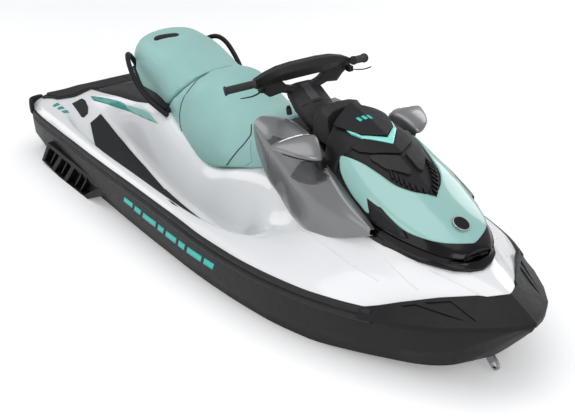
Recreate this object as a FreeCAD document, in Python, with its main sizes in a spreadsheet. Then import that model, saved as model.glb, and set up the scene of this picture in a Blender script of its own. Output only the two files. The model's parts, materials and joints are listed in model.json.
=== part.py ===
import FreeCAD, Part
import Sketcher
import math
import os

# A three-seat personal watercraft, in millimetres.
# +X runs to the bow, +Y to port, +Z up. The origin is on the waterline at mid-length.

doc = FreeCAD.newDocument("PersonalWatercraft")
sheet = doc.addObject("Spreadsheet::Sheet", "Sizes")

driving_sizes = {
    "hull_length": 3320,
    "beam": 1255,
    "draft": 237,
    "freeboard": 250,
    "lip_height": 25,
    "lip_depth": 12,
    "lip_skirt": 8,
    "bumper_thickness": 9,
    "bumper_nose": 26,
    "platform_rise": 10,
    "strake_width": 24,
    "panel_thickness": 5,
    "mat_thickness": 6,
    "seat_gap": 0.3,
    "moving_gap": 6,
    "overrun": 20,
    "engine_centre_x": -210,
    "bay_length": 620,
    "bay_width": 400,
    "bay_floor": 118,
    "bay_roof": 268,
    "engine_length": 520,
    "engine_width": 350,
    "engine_height": 370,
    "well_length": 430,
    "well_width": 330,
    "well_floor": 60,
    "well_rim": 500,
    "well_draft": 30,
    "well_centre_x": 800,
    "well_clearance": 1,
    "bin_wall": 5,
    "pump_depth": 78,
    "pump_radius": 88,
    "pump_wall": 8,
    "pump_length": 250,
    "pump_setback": 490,
    "venturi_length": 70,
    "tunnel_headroom": 12,
    "duct_width": 180,
    "tunnel_length": 600,
    "tunnel_width": 250,
    "hub_radius": 34,
    "hub_length": 90,
    "blade_gap": 1.5,
    "blade_thickness": 4,
    "vane_length": 90,
    "shaft_radius": 14,
    "shaft_clearance": 1,
    "nozzle_length": 125,
    "nozzle_radius": 52,
    "nozzle_wall": 6,
    "nozzle_pin_radius": 7,
    "bucket_radius": 165,
    "bucket_wall": 7,
    "bucket_half_width": 112,
    "bucket_side_room": 38,
    "bucket_headroom": 15,
    "bucket_pin_radius": 8,
    "grate_length": 420,
    "grate_bar": 9,
    "plate_thickness": 8,
    "eye_thickness": 12,
    "eye_hole_radius": 14,
    "eye_rim": 9,
    "eye_reach": 40,
    "socket_wall": 4,
    "socket_radius": 30,
    "socket_bore_radius": 20,
    "socket_depth": 60,
    "grip_radius": 17,
    "grip_length": 125,
    "grip_flange_radius": 26,
    "grip_flange_width": 7,
    "bar_thickness": 46,
    "stem_radius": 16,
    "stem_length": 210,
    "column_x": 320,
    "column_top": 690,
    "column_hole_radius": 16.5,
    "collar_radius": 62,
    "lever_thickness": 8,
    "lever_length": 95,
    "rail_tube_radius": 15,
    "mirror_width": 95,
    "mirror_height": 70,
    "sponson_depth": 62,
    "hood_wall": 9,
    "hood_skirt": 40,
    "hinge_setback": 10,
    "hinge_drop": 14,
    "hinge_land": 60,
    "hinge_pin_radius": 5,
    "hinge_gap": 3,
    "hinge_ear_width": 8,
    "hinge_ear_radius": 7,
    "knuckle_radius": 9,
    "knuckle_width": 30,
    "knuckle_centre": 35,
    "notch_reach": 20,
    "notch_drop": 14,
    "bar_x": 160,
    "bar_foot": 800,
    "bar_half_width": 262,
    "bar_height": 130,
    "neck_length": 110,
    "neck_width": 120,
    "grip_sweep": 24,
    "grip_root": 10,
    "lever_reach": 34,
    "rail_bend": 40,
    "sponson_pocket": 150,
    "sponson_rib": 22,
    "impeller_setback": 30,
    "running_gap": 0.5,
    "tail_length": 60,
    "vane_count": 7,
    "blade_count": 4,
    "blade_steps": 4,
    "blade_twist": 55,
    "blade_inset": 8,
    "ear_reach": 31,
    "ear_half_height": 18,
    "nozzle_setback": 20,
    "nozzle_cutback": 4,
    "nozzle_exit_radius": 46,
    "yoke_gap": 6,
    "yoke_height": 20,
    "nozzle_boss": 6,
    "pin_clearance": 0.5,
    "bucket_start": 22,
    "bucket_end": 92,
    "bucket_open_angle": 30,
    "grate_height": 39,
    "grate_depth": 14,
    "grate_bars": 5,
    "plate_tail": 30,
    "socket_top": 311,
    "steering_rake": 30,
    "bar_rake": 19,
    "bow_eye_lean": 53.13,
    "stern_eye_lean": -90,
}


class Size(float):
    """A number that carries its own expression in the cells of the sheet."""

    def __new__(cls, value, expression):
        size = super().__new__(cls, value)
        size.expression = expression
        return size

    def __add__(self, other):
        return Size(float(self) + float(other), f"({self.expression} + {wording(other)})")

    def __radd__(self, other):
        return Size(float(other) + float(self), f"({wording(other)} + {self.expression})")

    def __sub__(self, other):
        return Size(float(self) - float(other), f"({self.expression} - {wording(other)})")

    def __rsub__(self, other):
        return Size(float(other) - float(self), f"({wording(other)} - {self.expression})")

    def __mul__(self, other):
        return Size(float(self) * float(other), f"({self.expression} * {wording(other)})")

    def __rmul__(self, other):
        return Size(float(other) * float(self), f"({wording(other)} * {self.expression})")

    def __truediv__(self, other):
        return Size(float(self) / float(other), f"({self.expression} / {wording(other)})")

    def __neg__(self):
        return Size(-float(self), f"(-{self.expression})")


def wording(value):
    """The expression of a number, which is the number itself when no cell gives it."""
    if isinstance(value, Size):
        return value.expression
    return repr(float(value))


def sine(angle):
    return Size(math.sin(math.radians(angle)), f"sin({wording(angle)} * 1 deg)")


def cosine(angle):
    return Size(math.cos(math.radians(angle)), f"cos({wording(angle)} * 1 deg)")


class Sizes:
    pass


def fill_sheet():
    for row, (alias, value) in enumerate(driving_sizes.items(), start=1):
        sheet.set(f"A{row}", alias)
        sheet.set(f"B{row}", str(value))
        sheet.setAlias(f"B{row}", alias)
    doc.recompute()


fill_sheet()
mm = Sizes()
for alias in driving_sizes:
    setattr(mm, alias, Size(float(sheet.get(alias)), f"Sizes.{alias}"))

half_beam = mm.beam / 2
up = FreeCAD.Vector(0, 0, 1)
across = FreeCAD.Vector(0, 1, 0)
upright = FreeCAD.Rotation()
to_bow = FreeCAD.Rotation(across, 90)
to_port = FreeCAD.Rotation(FreeCAD.Vector(1, 0, 0), -90)
pieces = {}


def place(x_share, y_share, z_share):
    return FreeCAD.Vector(
        x_share * mm.hull_length, y_share * half_beam, z_share * mm.freeboard
    )


# Features of the document, with sizes and places bound to the sheet

def bind(feature, **values):
    for name, value in values.items():
        if isinstance(value, Size):
            feature.setExpression(name, value.expression)
        else:
            setattr(feature, name, value)


def stand(feature, x, y, z, turn=upright):
    """Puts a feature at a place that follows the sheet, turned about its own corner."""
    feature.Placement = FreeCAD.Placement(FreeCAD.Vector(x, y, z), turn)
    for axis, value in (("x", x), ("y", y), ("z", z)):
        if isinstance(value, Size):
            feature.setExpression(f".Placement.Base.{axis}", value.expression)


def box(name, x0, x1, y0, y1, z0, z1):
    feature = doc.addObject("Part::Box", name)
    bind(feature, Length=x1 - x0, Width=y1 - y0, Height=z1 - z0)
    stand(feature, x0, y0, z0)
    return feature


def cylinder(name, radius, height, x, y, z, turn=upright):
    feature = doc.addObject("Part::Cylinder", name)
    bind(feature, Radius=radius, Height=height)
    stand(feature, x, y, z, turn)
    return feature


def cross_pin(name, radius, half_width, x, z):
    """A round bar across the craft, centred on its middle plane."""
    return cylinder(name, radius, 2 * half_width, x, -half_width, z, to_port)


def cone(name, rear_radius, front_radius, x0, x1):
    """A cone about the pump's axis, from one place to a larger one."""
    feature = doc.addObject("Part::Cone", name)
    bind(feature, Radius1=rear_radius, Radius2=front_radius, Height=x1 - x0)
    stand(feature, x0, 0, pump_z, to_bow)
    return feature


def shaft(name, radius, x0, x1):
    """A cylinder about the pump's axis."""
    return cylinder(name, radius, x1 - x0, x0, 0, pump_z, to_bow)


def tapered_block(name, x_mid, low_half, low_z, top_half, top_z):
    """A block that widens from its low rectangle to its top one; halves are (along, across)."""
    feature = doc.addObject("Part::Wedge", name)
    bind(
        feature, Ymin=0, Ymax=top_z - low_z,
        Xmin=-low_half[0], Xmax=low_half[0], Zmin=-low_half[1], Zmax=low_half[1],
        X2min=-top_half[0], X2max=top_half[0], Z2min=-top_half[1], Z2max=top_half[1],
    )
    stand(feature, x_mid, 0, low_z, FreeCAD.Rotation(FreeCAD.Vector(1, 0, 0), 90))
    return feature


def worked(name, shape):
    """A shape worked out here from the sheet's sizes, as a feature that others can use."""
    feature = doc.addObject("Part::Feature", name)
    feature.Shape = shape
    feature.Placement = FreeCAD.Placement()
    return feature


def joined(name, parts):
    feature = doc.addObject("Part::MultiFuse", name)
    feature.Shapes = parts
    return feature


def common(name, first, second):
    feature = doc.addObject("Part::Common", name)
    feature.Base = first
    feature.Tool = second
    return feature


def cut(name, base, tools):
    feature = doc.addObject("Part::Cut", name)
    feature.Base = base
    feature.Tool = tools[0] if len(tools) == 1 else joined(f"{name}Tools", tools)
    return feature


def other_side(name, feature):
    """The mirror image across the craft's middle plane."""
    image = doc.addObject("Part::Mirroring", name)
    image.Source = feature
    image.Base = FreeCAD.Vector(0, 0, 0)
    image.Normal = across
    return image


def new_body(name, x, y, z, turn=upright):
    body = doc.addObject("PartDesign::Body", name)
    stand(body, x, y, z, turn)
    return body


def outline_on(body, name, role, corners):
    """A closed outline on one of the body's own planes; each corner's places follow the sheet."""
    planes = {feature.Role: feature for feature in body.Origin.OriginFeatures}
    sketch = body.newObject("Sketcher::SketchObject", name)
    sketch.AttachmentSupport = (planes[role], [""])
    sketch.MapMode = "FlatFace"
    points = [FreeCAD.Vector(first, second, 0) for first, second in corners]
    for start, end in zip(points, points[1:] + points[:1]):
        sketch.addGeometry(Part.LineSegment(start, end), False)
    count = len(points)
    for index, corner in enumerate(corners):
        sketch.addConstraint(Sketcher.Constraint("Coincident", index, 2, (index + 1) % count, 1))
        for kind, value in zip(("DistanceX", "DistanceY"), corner):
            number = sketch.addConstraint(Sketcher.Constraint(kind, -1, 1, index, 1, float(value)))
            if isinstance(value, Size):
                sketch.setExpression(f"Constraints[{number}]", value.expression)
    return sketch


def padded(body, name, sketch, length, symmetric=False):
    pad = body.newObject("PartDesign::Pad", name)
    pad.Profile = sketch
    bind(pad, Length=length)
    pad.SideType = "Symmetric" if symmetric else "One side"
    return pad


def pocketed(body, name, sketch, length):
    """A symmetric pocket through the body on both sides of the sketch's plane."""
    pocket = body.newObject("PartDesign::Pocket", name)
    pocket.Profile = sketch
    bind(pocket, Length=length)
    pocket.SideType = "Symmetric"
    return pocket


def turned(body, name, sketch, axis_name):
    """The outline revolved once about an axis of the sketch."""
    revolution = body.newObject("PartDesign::Revolution", name)
    revolution.Profile = sketch
    revolution.ReferenceAxis = (sketch, [axis_name])
    revolution.Angle = 360
    return revolution


def keep(label, shape):
    """One sub-part whose shape is worked out here, under its own label."""
    keep_object(label, worked(label, shape))


def keep_object(label, feature):
    """One sub-part that is already a feature of the document."""
    feature.Label = label
    pieces[label] = feature
    return feature


# Fair lines and skins

def slopes(places, values):
    """Slope at each station, limited so that the line never overshoots a station."""
    steps = [b - a for a, b in zip(places, places[1:])]
    rises = [(b - a) / step for a, b, step in zip(values, values[1:], steps)]
    found = [rises[0]]
    for before, after in zip(rises, rises[1:]):
        found.append(2 * before * after / (before + after) if before * after > 0 else 0.0)
    found.append(rises[-1])
    return found


def fair_line(points):
    """A smooth curve through stations that run along X, with X as its parameter."""
    xs = [point.x for point in points]
    y_slopes = slopes(xs, [point.y for point in points])
    z_slopes = slopes(xs, [point.z for point in points])
    poles = []
    for index, point in enumerate(points):
        direction = FreeCAD.Vector(1, y_slopes[index], z_slopes[index])
        if index > 0:
            poles.append(point - direction * ((xs[index] - xs[index - 1]) / 3))
        else:
            poles.append(point)
        if index < len(points) - 1:
            poles.append(point + direction * ((xs[index + 1] - xs[index]) / 3))
        else:
            poles.append(point)
    mults = [4] + [2] * (len(points) - 2) + [4]
    curve = Part.BSplineCurve()
    curve.buildFromPolesMultsKnots(poles, mults, xs, False, 3)
    return curve


def mirrored(points):
    return [FreeCAD.Vector(point.x, -point.y, point.z) for point in points]


def skin(rows):
    """A solid whose long edges are fair lines through the rows of points."""
    edges = [fair_line(row).toShape() for row in rows]
    faces = []
    for first, second in zip(edges, edges[1:] + edges[:1]):
        faces.append(Part.makeRuledSurface(first, second))
    for end in (0, -1):
        corners = [row[end] for row in rows]
        faces.append(Part.Face(Part.makePolygon(corners + corners[:1])))
    shell = Part.makeShell(faces)
    shell.sewShape()
    solid = Part.makeSolid(Part.Shell(shell.Faces))
    if solid.Volume < 0:
        solid.reverse()
    return solid


def symmetric_skin(rows):
    """The same for a half section that starts and ends on the centreline."""
    return skin(rows + [mirrored(row) for row in reversed(rows[1:-1])])


def rows_from(x_shares, lines):
    """Point rows from a table of stations and (half-width shares, height shares) lines."""
    table = []
    for y_shares, z_shares in lines:
        table.append([place(*shares) for shares in zip(x_shares, y_shares, z_shares)])
    return table


def shifted(row, dy, dz):
    return [FreeCAD.Vector(p.x, max(p.y + dy, 0) if p.y > 0 else 0, p.z + dz) for p in row]


def largest(shape):
    """The main solid of a cut piece, without the scraps inside its neighbours."""
    return max(shape.Solids, key=lambda solid: solid.Volume)


def both_sides(shape):
    """The shape and its mirror image, as two solids of one piece."""
    other = shape.mirror(FreeCAD.Vector(0, 0, 0), FreeCAD.Vector(0, 1, 0))
    return Part.makeCompound(shape.Solids + other.Solids)


def block(x0, x1, y0, y1, z0, z1):
    return Part.makeBox(x1 - x0, y1 - y0, z1 - z0, FreeCAD.Vector(x0, y0, z0))


def rod(radius, start, end):
    return Part.makeCylinder(radius, (end - start).Length, start, end - start)


def prism_up(outline, bottom, top):
    """A vertical prism over a plan outline of points."""
    corners = [FreeCAD.Vector(point.x, point.y, bottom) for point in outline]
    face = Part.Face(Part.makePolygon(corners + corners[:1]))
    return face.extrude(up * (top - bottom))


# Lines plan of the hull

station_shares = (
    -0.494, -0.437, -0.361, -0.271, -0.181, -0.090, 0, 0.090, 0.181,
    0.256, 0.316, 0.361, 0.401, 0.434, 0.461, 0.482, 0.497,
)
rail_width_shares = (
    0.885, 0.932, 0.956, 0.980, 0.996, 1.0, 1.0, 0.980, 0.929,
    0.849, 0.754, 0.645, 0.542, 0.422, 0.308, 0.191, 0.060,
)
rail_height_shares = (
    0.89, 0.92, 0.96, 1.0, 1.03, 1.05, 1.05, 1.0, 0.985,
    1.0, 1.04, 1.06, 1.10, 1.16, 1.23, 1.29, 1.32,
)
chine_width_shares = (
    0.762, 0.797, 0.826, 0.848, 0.864, 0.872, 0.872, 0.851, 0.80,
    0.714, 0.607, 0.507, 0.406, 0.295, 0.16, 0.08, 0.029,
)
chine_height_shares = (
    -0.05, -0.04, -0.03, -0.015, -0.012, -0.02, -0.03, -0.05, -0.05,
    0, 0.095, 0.175, 0.25, 0.38, 0.68, 0.99, 1.2,
)
keel_depth_shares = (
    0.95, 0.97, 0.99, 1.0, 1.0, 1.0, 1.0, 0.98, 0.905,
    0.74, 0.505, 0.275, 0.02, -0.26, -0.63, -0.98, -1.2,
)
tray_width_shares = (
    0.80, 0.845, 0.868, 0.892, 0.908, 0.912, 0.912, 0.892, 0.84,
    0.75, 0.64, 0.53, 0.42, 0.30, 0.20, 0.11, 0.03,
)
tray_height_shares = (
    0.52, 0.52, 0.40, 0.24, 0.22, 0.22, 0.22, 0.25, 0.70,
    0.80, 0.84, 0.88, 0.95, 1.05, 1.15, 1.22, 1.29,
)
strake_place_share = 0.50
chine_flat_share = 0.93
crease_out_share = 0.80
crease_up_share = 0.42
strake_taper_shares = (1, 1, 1, 1, 1, 1, 1, 1, 1, 0.9, 0.8, 0.7, 0.5, 0.3, 0.12, 0.06, 0.02)

rail_row = [
    place(*shares) for shares in zip(station_shares, rail_width_shares, rail_height_shares)
]
chine_row = [
    place(*shares) for shares in zip(station_shares, chine_width_shares, chine_height_shares)
]
tray_floor_row = [
    place(*shares) for shares in zip(station_shares, tray_width_shares, tray_height_shares)
]
keel_row = [
    FreeCAD.Vector(x * mm.hull_length, 0, -depth * mm.draft)
    for x, depth in zip(station_shares, keel_depth_shares)
]
wall_row = shifted(rail_row, -mm.lip_depth, 0)
tray_rim_row = [
    FreeCAD.Vector(floor.x, floor.y, rail.z) for floor, rail in zip(tray_floor_row, rail_row)
]
tray_centre_row = [FreeCAD.Vector(p.x, 0, p.z) for p in tray_floor_row]


def between(first, second, out_share, up_share):
    """A row part of the way from one row to another."""
    return [
        FreeCAD.Vector(a.x, a.y + out_share * (b.y - a.y), a.z + up_share * (b.z - a.z))
        for a, b in zip(first, second)
    ]


def hull_shape():
    strake_inner = between(keel_row, chine_row, strake_place_share, strake_place_share)
    strake_outer = [
        FreeCAD.Vector(p.x, p.y + mm.strake_width * taper, p.z)
        for p, taper in zip(strake_inner, strake_taper_shares)
    ]
    chine_inner = between(keel_row, chine_row, chine_flat_share, chine_flat_share)
    crease = between(chine_row, wall_row, crease_out_share, crease_up_share)
    return symmetric_skin([
        keel_row, strake_inner, strake_outer, chine_inner, chine_row, crease,
        wall_row, tray_rim_row, tray_floor_row, tray_centre_row,
    ])


# Lines of the deck moulding, from the rail in to the centreline

deck_station_shares = (
    -0.494, -0.437, -0.377, -0.346, -0.301, -0.226, -0.151, -0.084, 0, 0.045, 0.090,
    0.136, 0.181, 0.256, 0.316, 0.361, 0.401, 0.434, 0.461, 0.482, 0.497,
)
gunwale_shares = (
    (0.821, 0.869, 0.900, 0.908, 0.921, 0.937, 0.948, 0.953, 0.951, 0.947, 0.932,
     0.913, 0.881, 0.797, 0.685, 0.566, 0.454, 0.343, 0.239, 0.151, 0.035),
    (1.10, 1.14, 1.18, 1.19, 1.20, 1.21, 1.22, 1.224, 1.22, 1.21, 1.20,
     1.19, 1.17, 1.18, 1.24, 1.30, 1.38, 1.44, 1.46, 1.46, 1.44),
)
gunwale_inner_shares = (
    (0.70, 0.765, 0.813, 0.845, 0.869, 0.892, 0.897, 0.897, 0.892, 0.876, 0.829,
     0.765, 0.70, 0.606, 0.51, 0.414, 0.319, 0.223, 0.151, 0.088, 0.022),
    (1.19, 1.20, 1.21, 1.21, 1.21, 1.21, 1.22, 1.224, 1.22, 1.216, 1.22,
     1.26, 1.32, 1.42, 1.50, 1.52, 1.54, 1.55, 1.52, 1.49, 1.448),
)
floor_outer_shares = (
    (0.637, 0.70, 0.757, 0.781, 0.805, 0.837, 0.845, 0.845, 0.845, 0.821, 0.757,
     0.685, 0.622, 0.55, 0.462, 0.367, 0.271, 0.175, 0.112, 0.064, 0.016),
    (1.184, 1.188, 1.08, 0.80, 0.68, 0.56, 0.46, 0.40, 0.392, 0.48, 0.88,
     1.24, 1.38, 1.54, 1.62, 1.62, 1.60, 1.58, 1.54, 1.50, 1.452),
)
floor_inner_shares = (
    (0.526, 0.574, 0.614, 0.614, 0.598, 0.574, 0.566, 0.558, 0.55, 0.55, 0.558,
     0.574, 0.55, 0.494, 0.414, 0.319, 0.223, 0.135, 0.08, 0.045, 0.011),
    (1.184, 1.184, 1.05, 0.78, 0.66, 0.54, 0.44, 0.38, 0.372, 0.46, 0.86,
     1.24, 1.46, 1.68, 1.74, 1.70, 1.64, 1.60, 1.552, 1.508, 1.456),
)
pedestal_edge_shares = (
    (0.43, 0.446, 0.454, 0.446, 0.438, 0.418, 0.398, 0.39, 0.39, 0.39, 0.398,
     0.43, 0.47, 0.44, 0.367, 0.263, 0.175, 0.104, 0.061, 0.032, 0.008),
    (1.192, 1.20, 1.38, 1.50, 1.64, 1.848, 1.50, 1.232, 1.56, 1.72, 1.82,
     1.56, 1.54, 1.82, 1.90, 1.80, 1.70, 1.62, 1.56, 1.512, 1.46),
)
pedestal_top_shares = (
    (0.319, 0.319, 0.335, 0.335, 0.335, 0.319, 0.303, 0.295, 0.295, 0.295, 0.303,
     0.319, 0.335, 0.335, 0.287, 0.207, 0.135, 0.08, 0.048, 0.024, 0.0056),
    (1.20, 1.208, 1.44, 1.56, 1.72, 1.90, 1.54, 1.272, 1.60, 1.78, 1.88,
     1.84, 1.84, 2.0, 1.96, 1.84, 1.72, 1.64, 1.572, 1.52, 1.464),
)
deck_centre_shares = (
    (0,) * 21,
    (1.208, 1.22, 1.48, 1.60, 1.76, 1.94, 1.58, 1.312, 1.64, 1.82, 1.92,
     1.92, 1.92, 2.04, 2.0, 1.88, 1.74, 1.652, 1.58, 1.524, 1.468),
)
deck_edge_row = shifted(wall_row, 0, mm.lip_height)
deck_top_rows = rows_from(deck_station_shares, [
    gunwale_shares, gunwale_inner_shares, floor_outer_shares, floor_inner_shares,
    pedestal_edge_shares, pedestal_top_shares, deck_centre_shares,
])


def deck_shape(rise):
    """The deck moulding, or with a rise a copy whose top lies that much higher."""
    top_rows = [shifted(row, 0, rise) for row in deck_top_rows]
    return symmetric_skin(
        [tray_centre_row, tray_floor_row, tray_rim_row, wall_row, deck_edge_row] + top_rows
    )


def lifted_centre(row, rise):
    return [FreeCAD.Vector(p.x, 0, p.z + rise) for p in row]


def plan(x_and_y_shares):
    return [place(x_share, y_share, 0) for x_share, y_share in x_and_y_shares]


def both_plans(outline, bottom, top):
    return both_sides(prism_up(outline, bottom, top))


hull_skin = hull_shape()
deck_skin = deck_shape(0)
transom_x = station_shares[0] * mm.hull_length
pump_z = -mm.pump_depth
pump_front_x = transom_x + mm.pump_setback
pump_rear_x = pump_front_x - mm.pump_length
venturi_x = pump_rear_x - mm.venturi_length
tunnel_x = transom_x + mm.tunnel_length
engine_rear_x = mm.engine_centre_x - mm.engine_length / 2
socket_station_share = -0.43
socket_width_share = 0.27
stem_share = 0.8
bow_eye_station_share = 0.434
bow_eye_out_share = 0.9
bow_eye_height_share = 0.26
bow_eye_drop_share = 0.4
eye_stand_share = 0.8
stern_eye_width_share = 0.55
stern_eye_height_share = 0.4
tow_eye_height_share = 0.72
low = -2 * mm.draft
high = 5 * mm.freeboard
far_out = 2 * half_beam


# Hull and deck

tunnel_top = pump_z + mm.pump_radius + mm.tunnel_headroom
half_tunnel = mm.tunnel_width / 2
half_duct = mm.duct_width / 2
bucket_bay_half = mm.bucket_half_width + mm.bucket_side_room
grate_front_x = tunnel_x + mm.grate_length
grate_top = mm.grate_height - mm.draft


def intake_ramp():
    """The sloping duct that brings water up to the pump."""
    outline = [
        FreeCAD.Vector(tunnel_x - mm.overrun, -half_duct, low),
        FreeCAD.Vector(grate_front_x, -half_duct, low),
        FreeCAD.Vector(grate_front_x, -half_duct, grate_top + mm.moving_gap),
        FreeCAD.Vector(tunnel_x - mm.overrun, -half_duct, tunnel_top),
    ]
    face = Part.Face(Part.makePolygon(outline + outline[:1]))
    return face.extrude(across * mm.duct_width)


def well_block(name, clearance):
    """The front storage bin's space, narrower at its floor by its draft, a clearance larger."""
    half_length = mm.well_length / 2 + clearance
    half_width = mm.well_width / 2 + clearance
    return tapered_block(
        name, mm.well_centre_x,
        (half_length - mm.well_draft, half_width - mm.well_draft), mm.well_floor - clearance,
        (half_length, half_width), mm.well_rim,
    )


def well_mouth_block():
    """The way out of the storage well, straight up from its rim."""
    half_length = mm.well_length / 2 + mm.well_clearance
    half_width = mm.well_width / 2 + mm.well_clearance
    return box(
        "WellMouth", mm.well_centre_x - half_length, mm.well_centre_x + half_length,
        -half_width, half_width, mm.well_rim, mm.well_rim + mm.freeboard,
    )


def column_rod(name, radius, start, end):
    """A round bar on the steering axis, between two distances from the console's top up the rake."""
    feature = cylinder(
        name, radius, end - start, mm.column_x - start * sine(mm.steering_rake), 0,
        mm.column_top + start * cosine(mm.steering_rake), FreeCAD.Rotation(across, -mm.steering_rake),
    )
    feature.setExpression(".Placement.Rotation.Angle", (-mm.steering_rake).expression)
    return feature


socket_x = socket_station_share * mm.hull_length
socket_y = socket_width_share * half_beam


def socket_hole(name, side):
    radius = mm.socket_bore_radius + mm.socket_wall + mm.seat_gap
    depth = mm.socket_depth + mm.seat_gap
    return cylinder(
        name, radius, depth + mm.overrun, socket_x, side * socket_y, mm.socket_top - depth,
    )


engine_bay = box(
    "EngineBay", mm.engine_centre_x - mm.bay_length / 2, mm.engine_centre_x + mm.bay_length / 2,
    -mm.bay_width / 2, mm.bay_width / 2, -mm.bay_floor, mm.bay_roof,
)
storage_well = [well_block("StorageWell", mm.well_clearance), well_mouth_block()]
hull_lines = worked("HullLines", hull_skin)
deck_lines = worked("DeckLines", deck_skin)
hull_openings = [
    box("PumpTunnel", transom_x - mm.overrun, tunnel_x, -half_tunnel, half_tunnel, low, tunnel_top),
    box(
        "BucketBay", transom_x - mm.overrun, pump_rear_x, -bucket_bay_half, bucket_bay_half,
        low, pump_z + mm.bucket_radius + mm.bucket_headroom,
    ),
    worked("IntakeRamp", intake_ramp()),
    shaft("ShaftHole", mm.shaft_radius + mm.shaft_clearance, tunnel_x - mm.overrun, mm.engine_centre_x),
]
deck_openings = [
    column_rod("ColumnHole", mm.column_hole_radius, -mm.stem_length, mm.column_hole_radius),
    socket_hole("PortSocketHole", 1),
    socket_hole("StarboardSocketHole", -1),
]
keep_object("hull", cut("HullMoulding", hull_lines, hull_openings + storage_well + [engine_bay]))
keep_object("deck", cut("DeckMoulding", deck_lines, deck_openings + storage_well + [engine_bay]))


# Rails and bumpers round the hull-to-deck joint

def grown_envelope(out, rise):
    """Hull side and deck top together, grown outwards and upwards."""
    lower = shifted(rail_row, out, -mm.lip_skirt)
    upper = shifted(rail_row, out, mm.lip_height + rise)
    tops = [shifted(row, 0, rise) for row in deck_top_rows]
    tops[0] = shifted(deck_top_rows[0], out, rise)
    return symmetric_skin([lifted_centre(lower, 0), lower, upper] + tops)


bow_outline = plan([
    (0.345, 0.70), (0.441, 0.185), (0.454, 0), (0.441, -0.185), (0.345, -0.70),
    (0.345, -1.2), (0.6, -1.2), (0.6, 1.2), (0.345, 1.2),
])
stern_corner_outline = plan([
    (-0.52, 0.74), (-0.485, 0.74), (-0.468, 0.83), (-0.455, 1.2), (-0.52, 1.2),
])
bow_prism = prism_up(bow_outline, low, high)
stern_prisms = both_plans(stern_corner_outline, low, high)


def make_rub_rail():
    lower = shifted(rail_row, 0, -mm.lip_skirt)
    upper = shifted(rail_row, 0, mm.lip_height)
    inner = shifted(wall_row, 0, -2 * mm.lip_skirt)
    inner_top = shifted(wall_row, 0, 2 * mm.lip_height)
    slab = symmetric_skin([lifted_centre(lower, 0), lower, upper, lifted_centre(upper, 0)])
    core = symmetric_skin([
        lifted_centre(inner, 0), inner, inner_top, lifted_centre(inner_top, 0),
    ])
    return slab.cut([core, bow_prism] + stern_prisms.Solids)


def moulding_core():
    """The hull's and the deck's outer faces about the joint, which the bumpers wrap."""
    lower = shifted(wall_row, 0, -3 * mm.lip_skirt)
    return symmetric_skin([lifted_centre(lower, 0), lower, deck_edge_row] + deck_top_rows)


def make_bumper(outline, reach):
    envelope = grown_envelope(mm.bumper_thickness, mm.bumper_thickness)
    envelope.translate(FreeCAD.Vector(reach, 0, 0))
    return envelope.common(outline).cut(moulding_core().common(outline))


keep("rub_rail", make_rub_rail())
keep("bow_bumper", make_bumper(bow_prism, mm.bumper_nose))
keep("stern_bumpers", make_bumper(stern_prisms, -mm.bumper_thickness))


# Mats and the rear platform, laid on the deck moulding

def deck_cover(rise, depth):
    """The volume under the deck's top surface, raised, down to a level below the water."""
    top_rows = [shifted(row, 0, rise) for row in deck_top_rows]
    edge_row = [FreeCAD.Vector(p.x, p.y, -depth) for p in deck_top_rows[0]]
    return symmetric_skin([lifted_centre(edge_row, 0), edge_row] + top_rows)


def laid_on_deck(outline, base, thickness):
    """A sheet that follows the deck, over a plan outline, from one rise to another."""
    sheet_top = deck_cover(base + thickness, mm.overrun).common(outline)
    return sheet_top.cut(deck_cover(base, 2 * mm.overrun))


riser_stations = (-0.366, -0.346, -0.301, -0.256, -0.219)
riser_lines = [
    ((0.30, 0.38, 0.40, 0.39, 0.37), (1.2,) * 5),
    ((0.28, 0.36, 0.38, 0.37, 0.35), (1.62, 1.86, 1.94, 1.98, 1.90)),
    ((0, 0, 0, 0, 0), (1.62, 1.86, 1.94, 1.98, 1.90)),
]


def riser_shape():
    rows = rows_from(riser_stations, riser_lines)
    return symmetric_skin([lifted_centre(rows[0], 0)] + rows)


mat_outline = plan([
    (-0.330, 0.64), (-0.318, 0.78), (-0.199, 0.825), (0.0, 0.828), (0.045, 0.77),
    (0.030, 0.59), (-0.18, 0.585),
])
platform_outline = plan([
    (-0.494, 0.73), (-0.485, 0.74), (-0.460, 0.62), (-0.385, 0.44), (-0.365, 0.30),
    (-0.365, -0.30), (-0.385, -0.44), (-0.460, -0.62), (-0.485, -0.74), (-0.494, -0.73),
])
platform_mat_outline = plan([
    (-0.488, 0.60), (-0.458, 0.52), (-0.392, 0.36), (-0.380, 0.26),
    (-0.380, -0.26), (-0.392, -0.36), (-0.458, -0.52), (-0.488, -0.60),
])
keep("footwell_mats", laid_on_deck(both_plans(mat_outline, low, high), 0, mm.mat_thickness))
platform = laid_on_deck(prism_up(platform_outline, low, high), 0, mm.platform_rise)
platform_mat = laid_on_deck(
    prism_up(platform_mat_outline, low, high), mm.platform_rise, mm.mat_thickness,
)
flange_holes = []
for side in (-1, 1):
    rest = FreeCAD.Vector(socket_x, side * socket_y, mm.socket_top)
    flange_holes.append(rod(
        mm.socket_radius + mm.seat_gap, rest - up * mm.overrun, rest + up * mm.overrun,
    ))
keep("rear_platform", platform.cut(flange_holes + [riser_shape()]))
keep("platform_mat", platform_mat.cut(flange_holes))


# Seats

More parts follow.
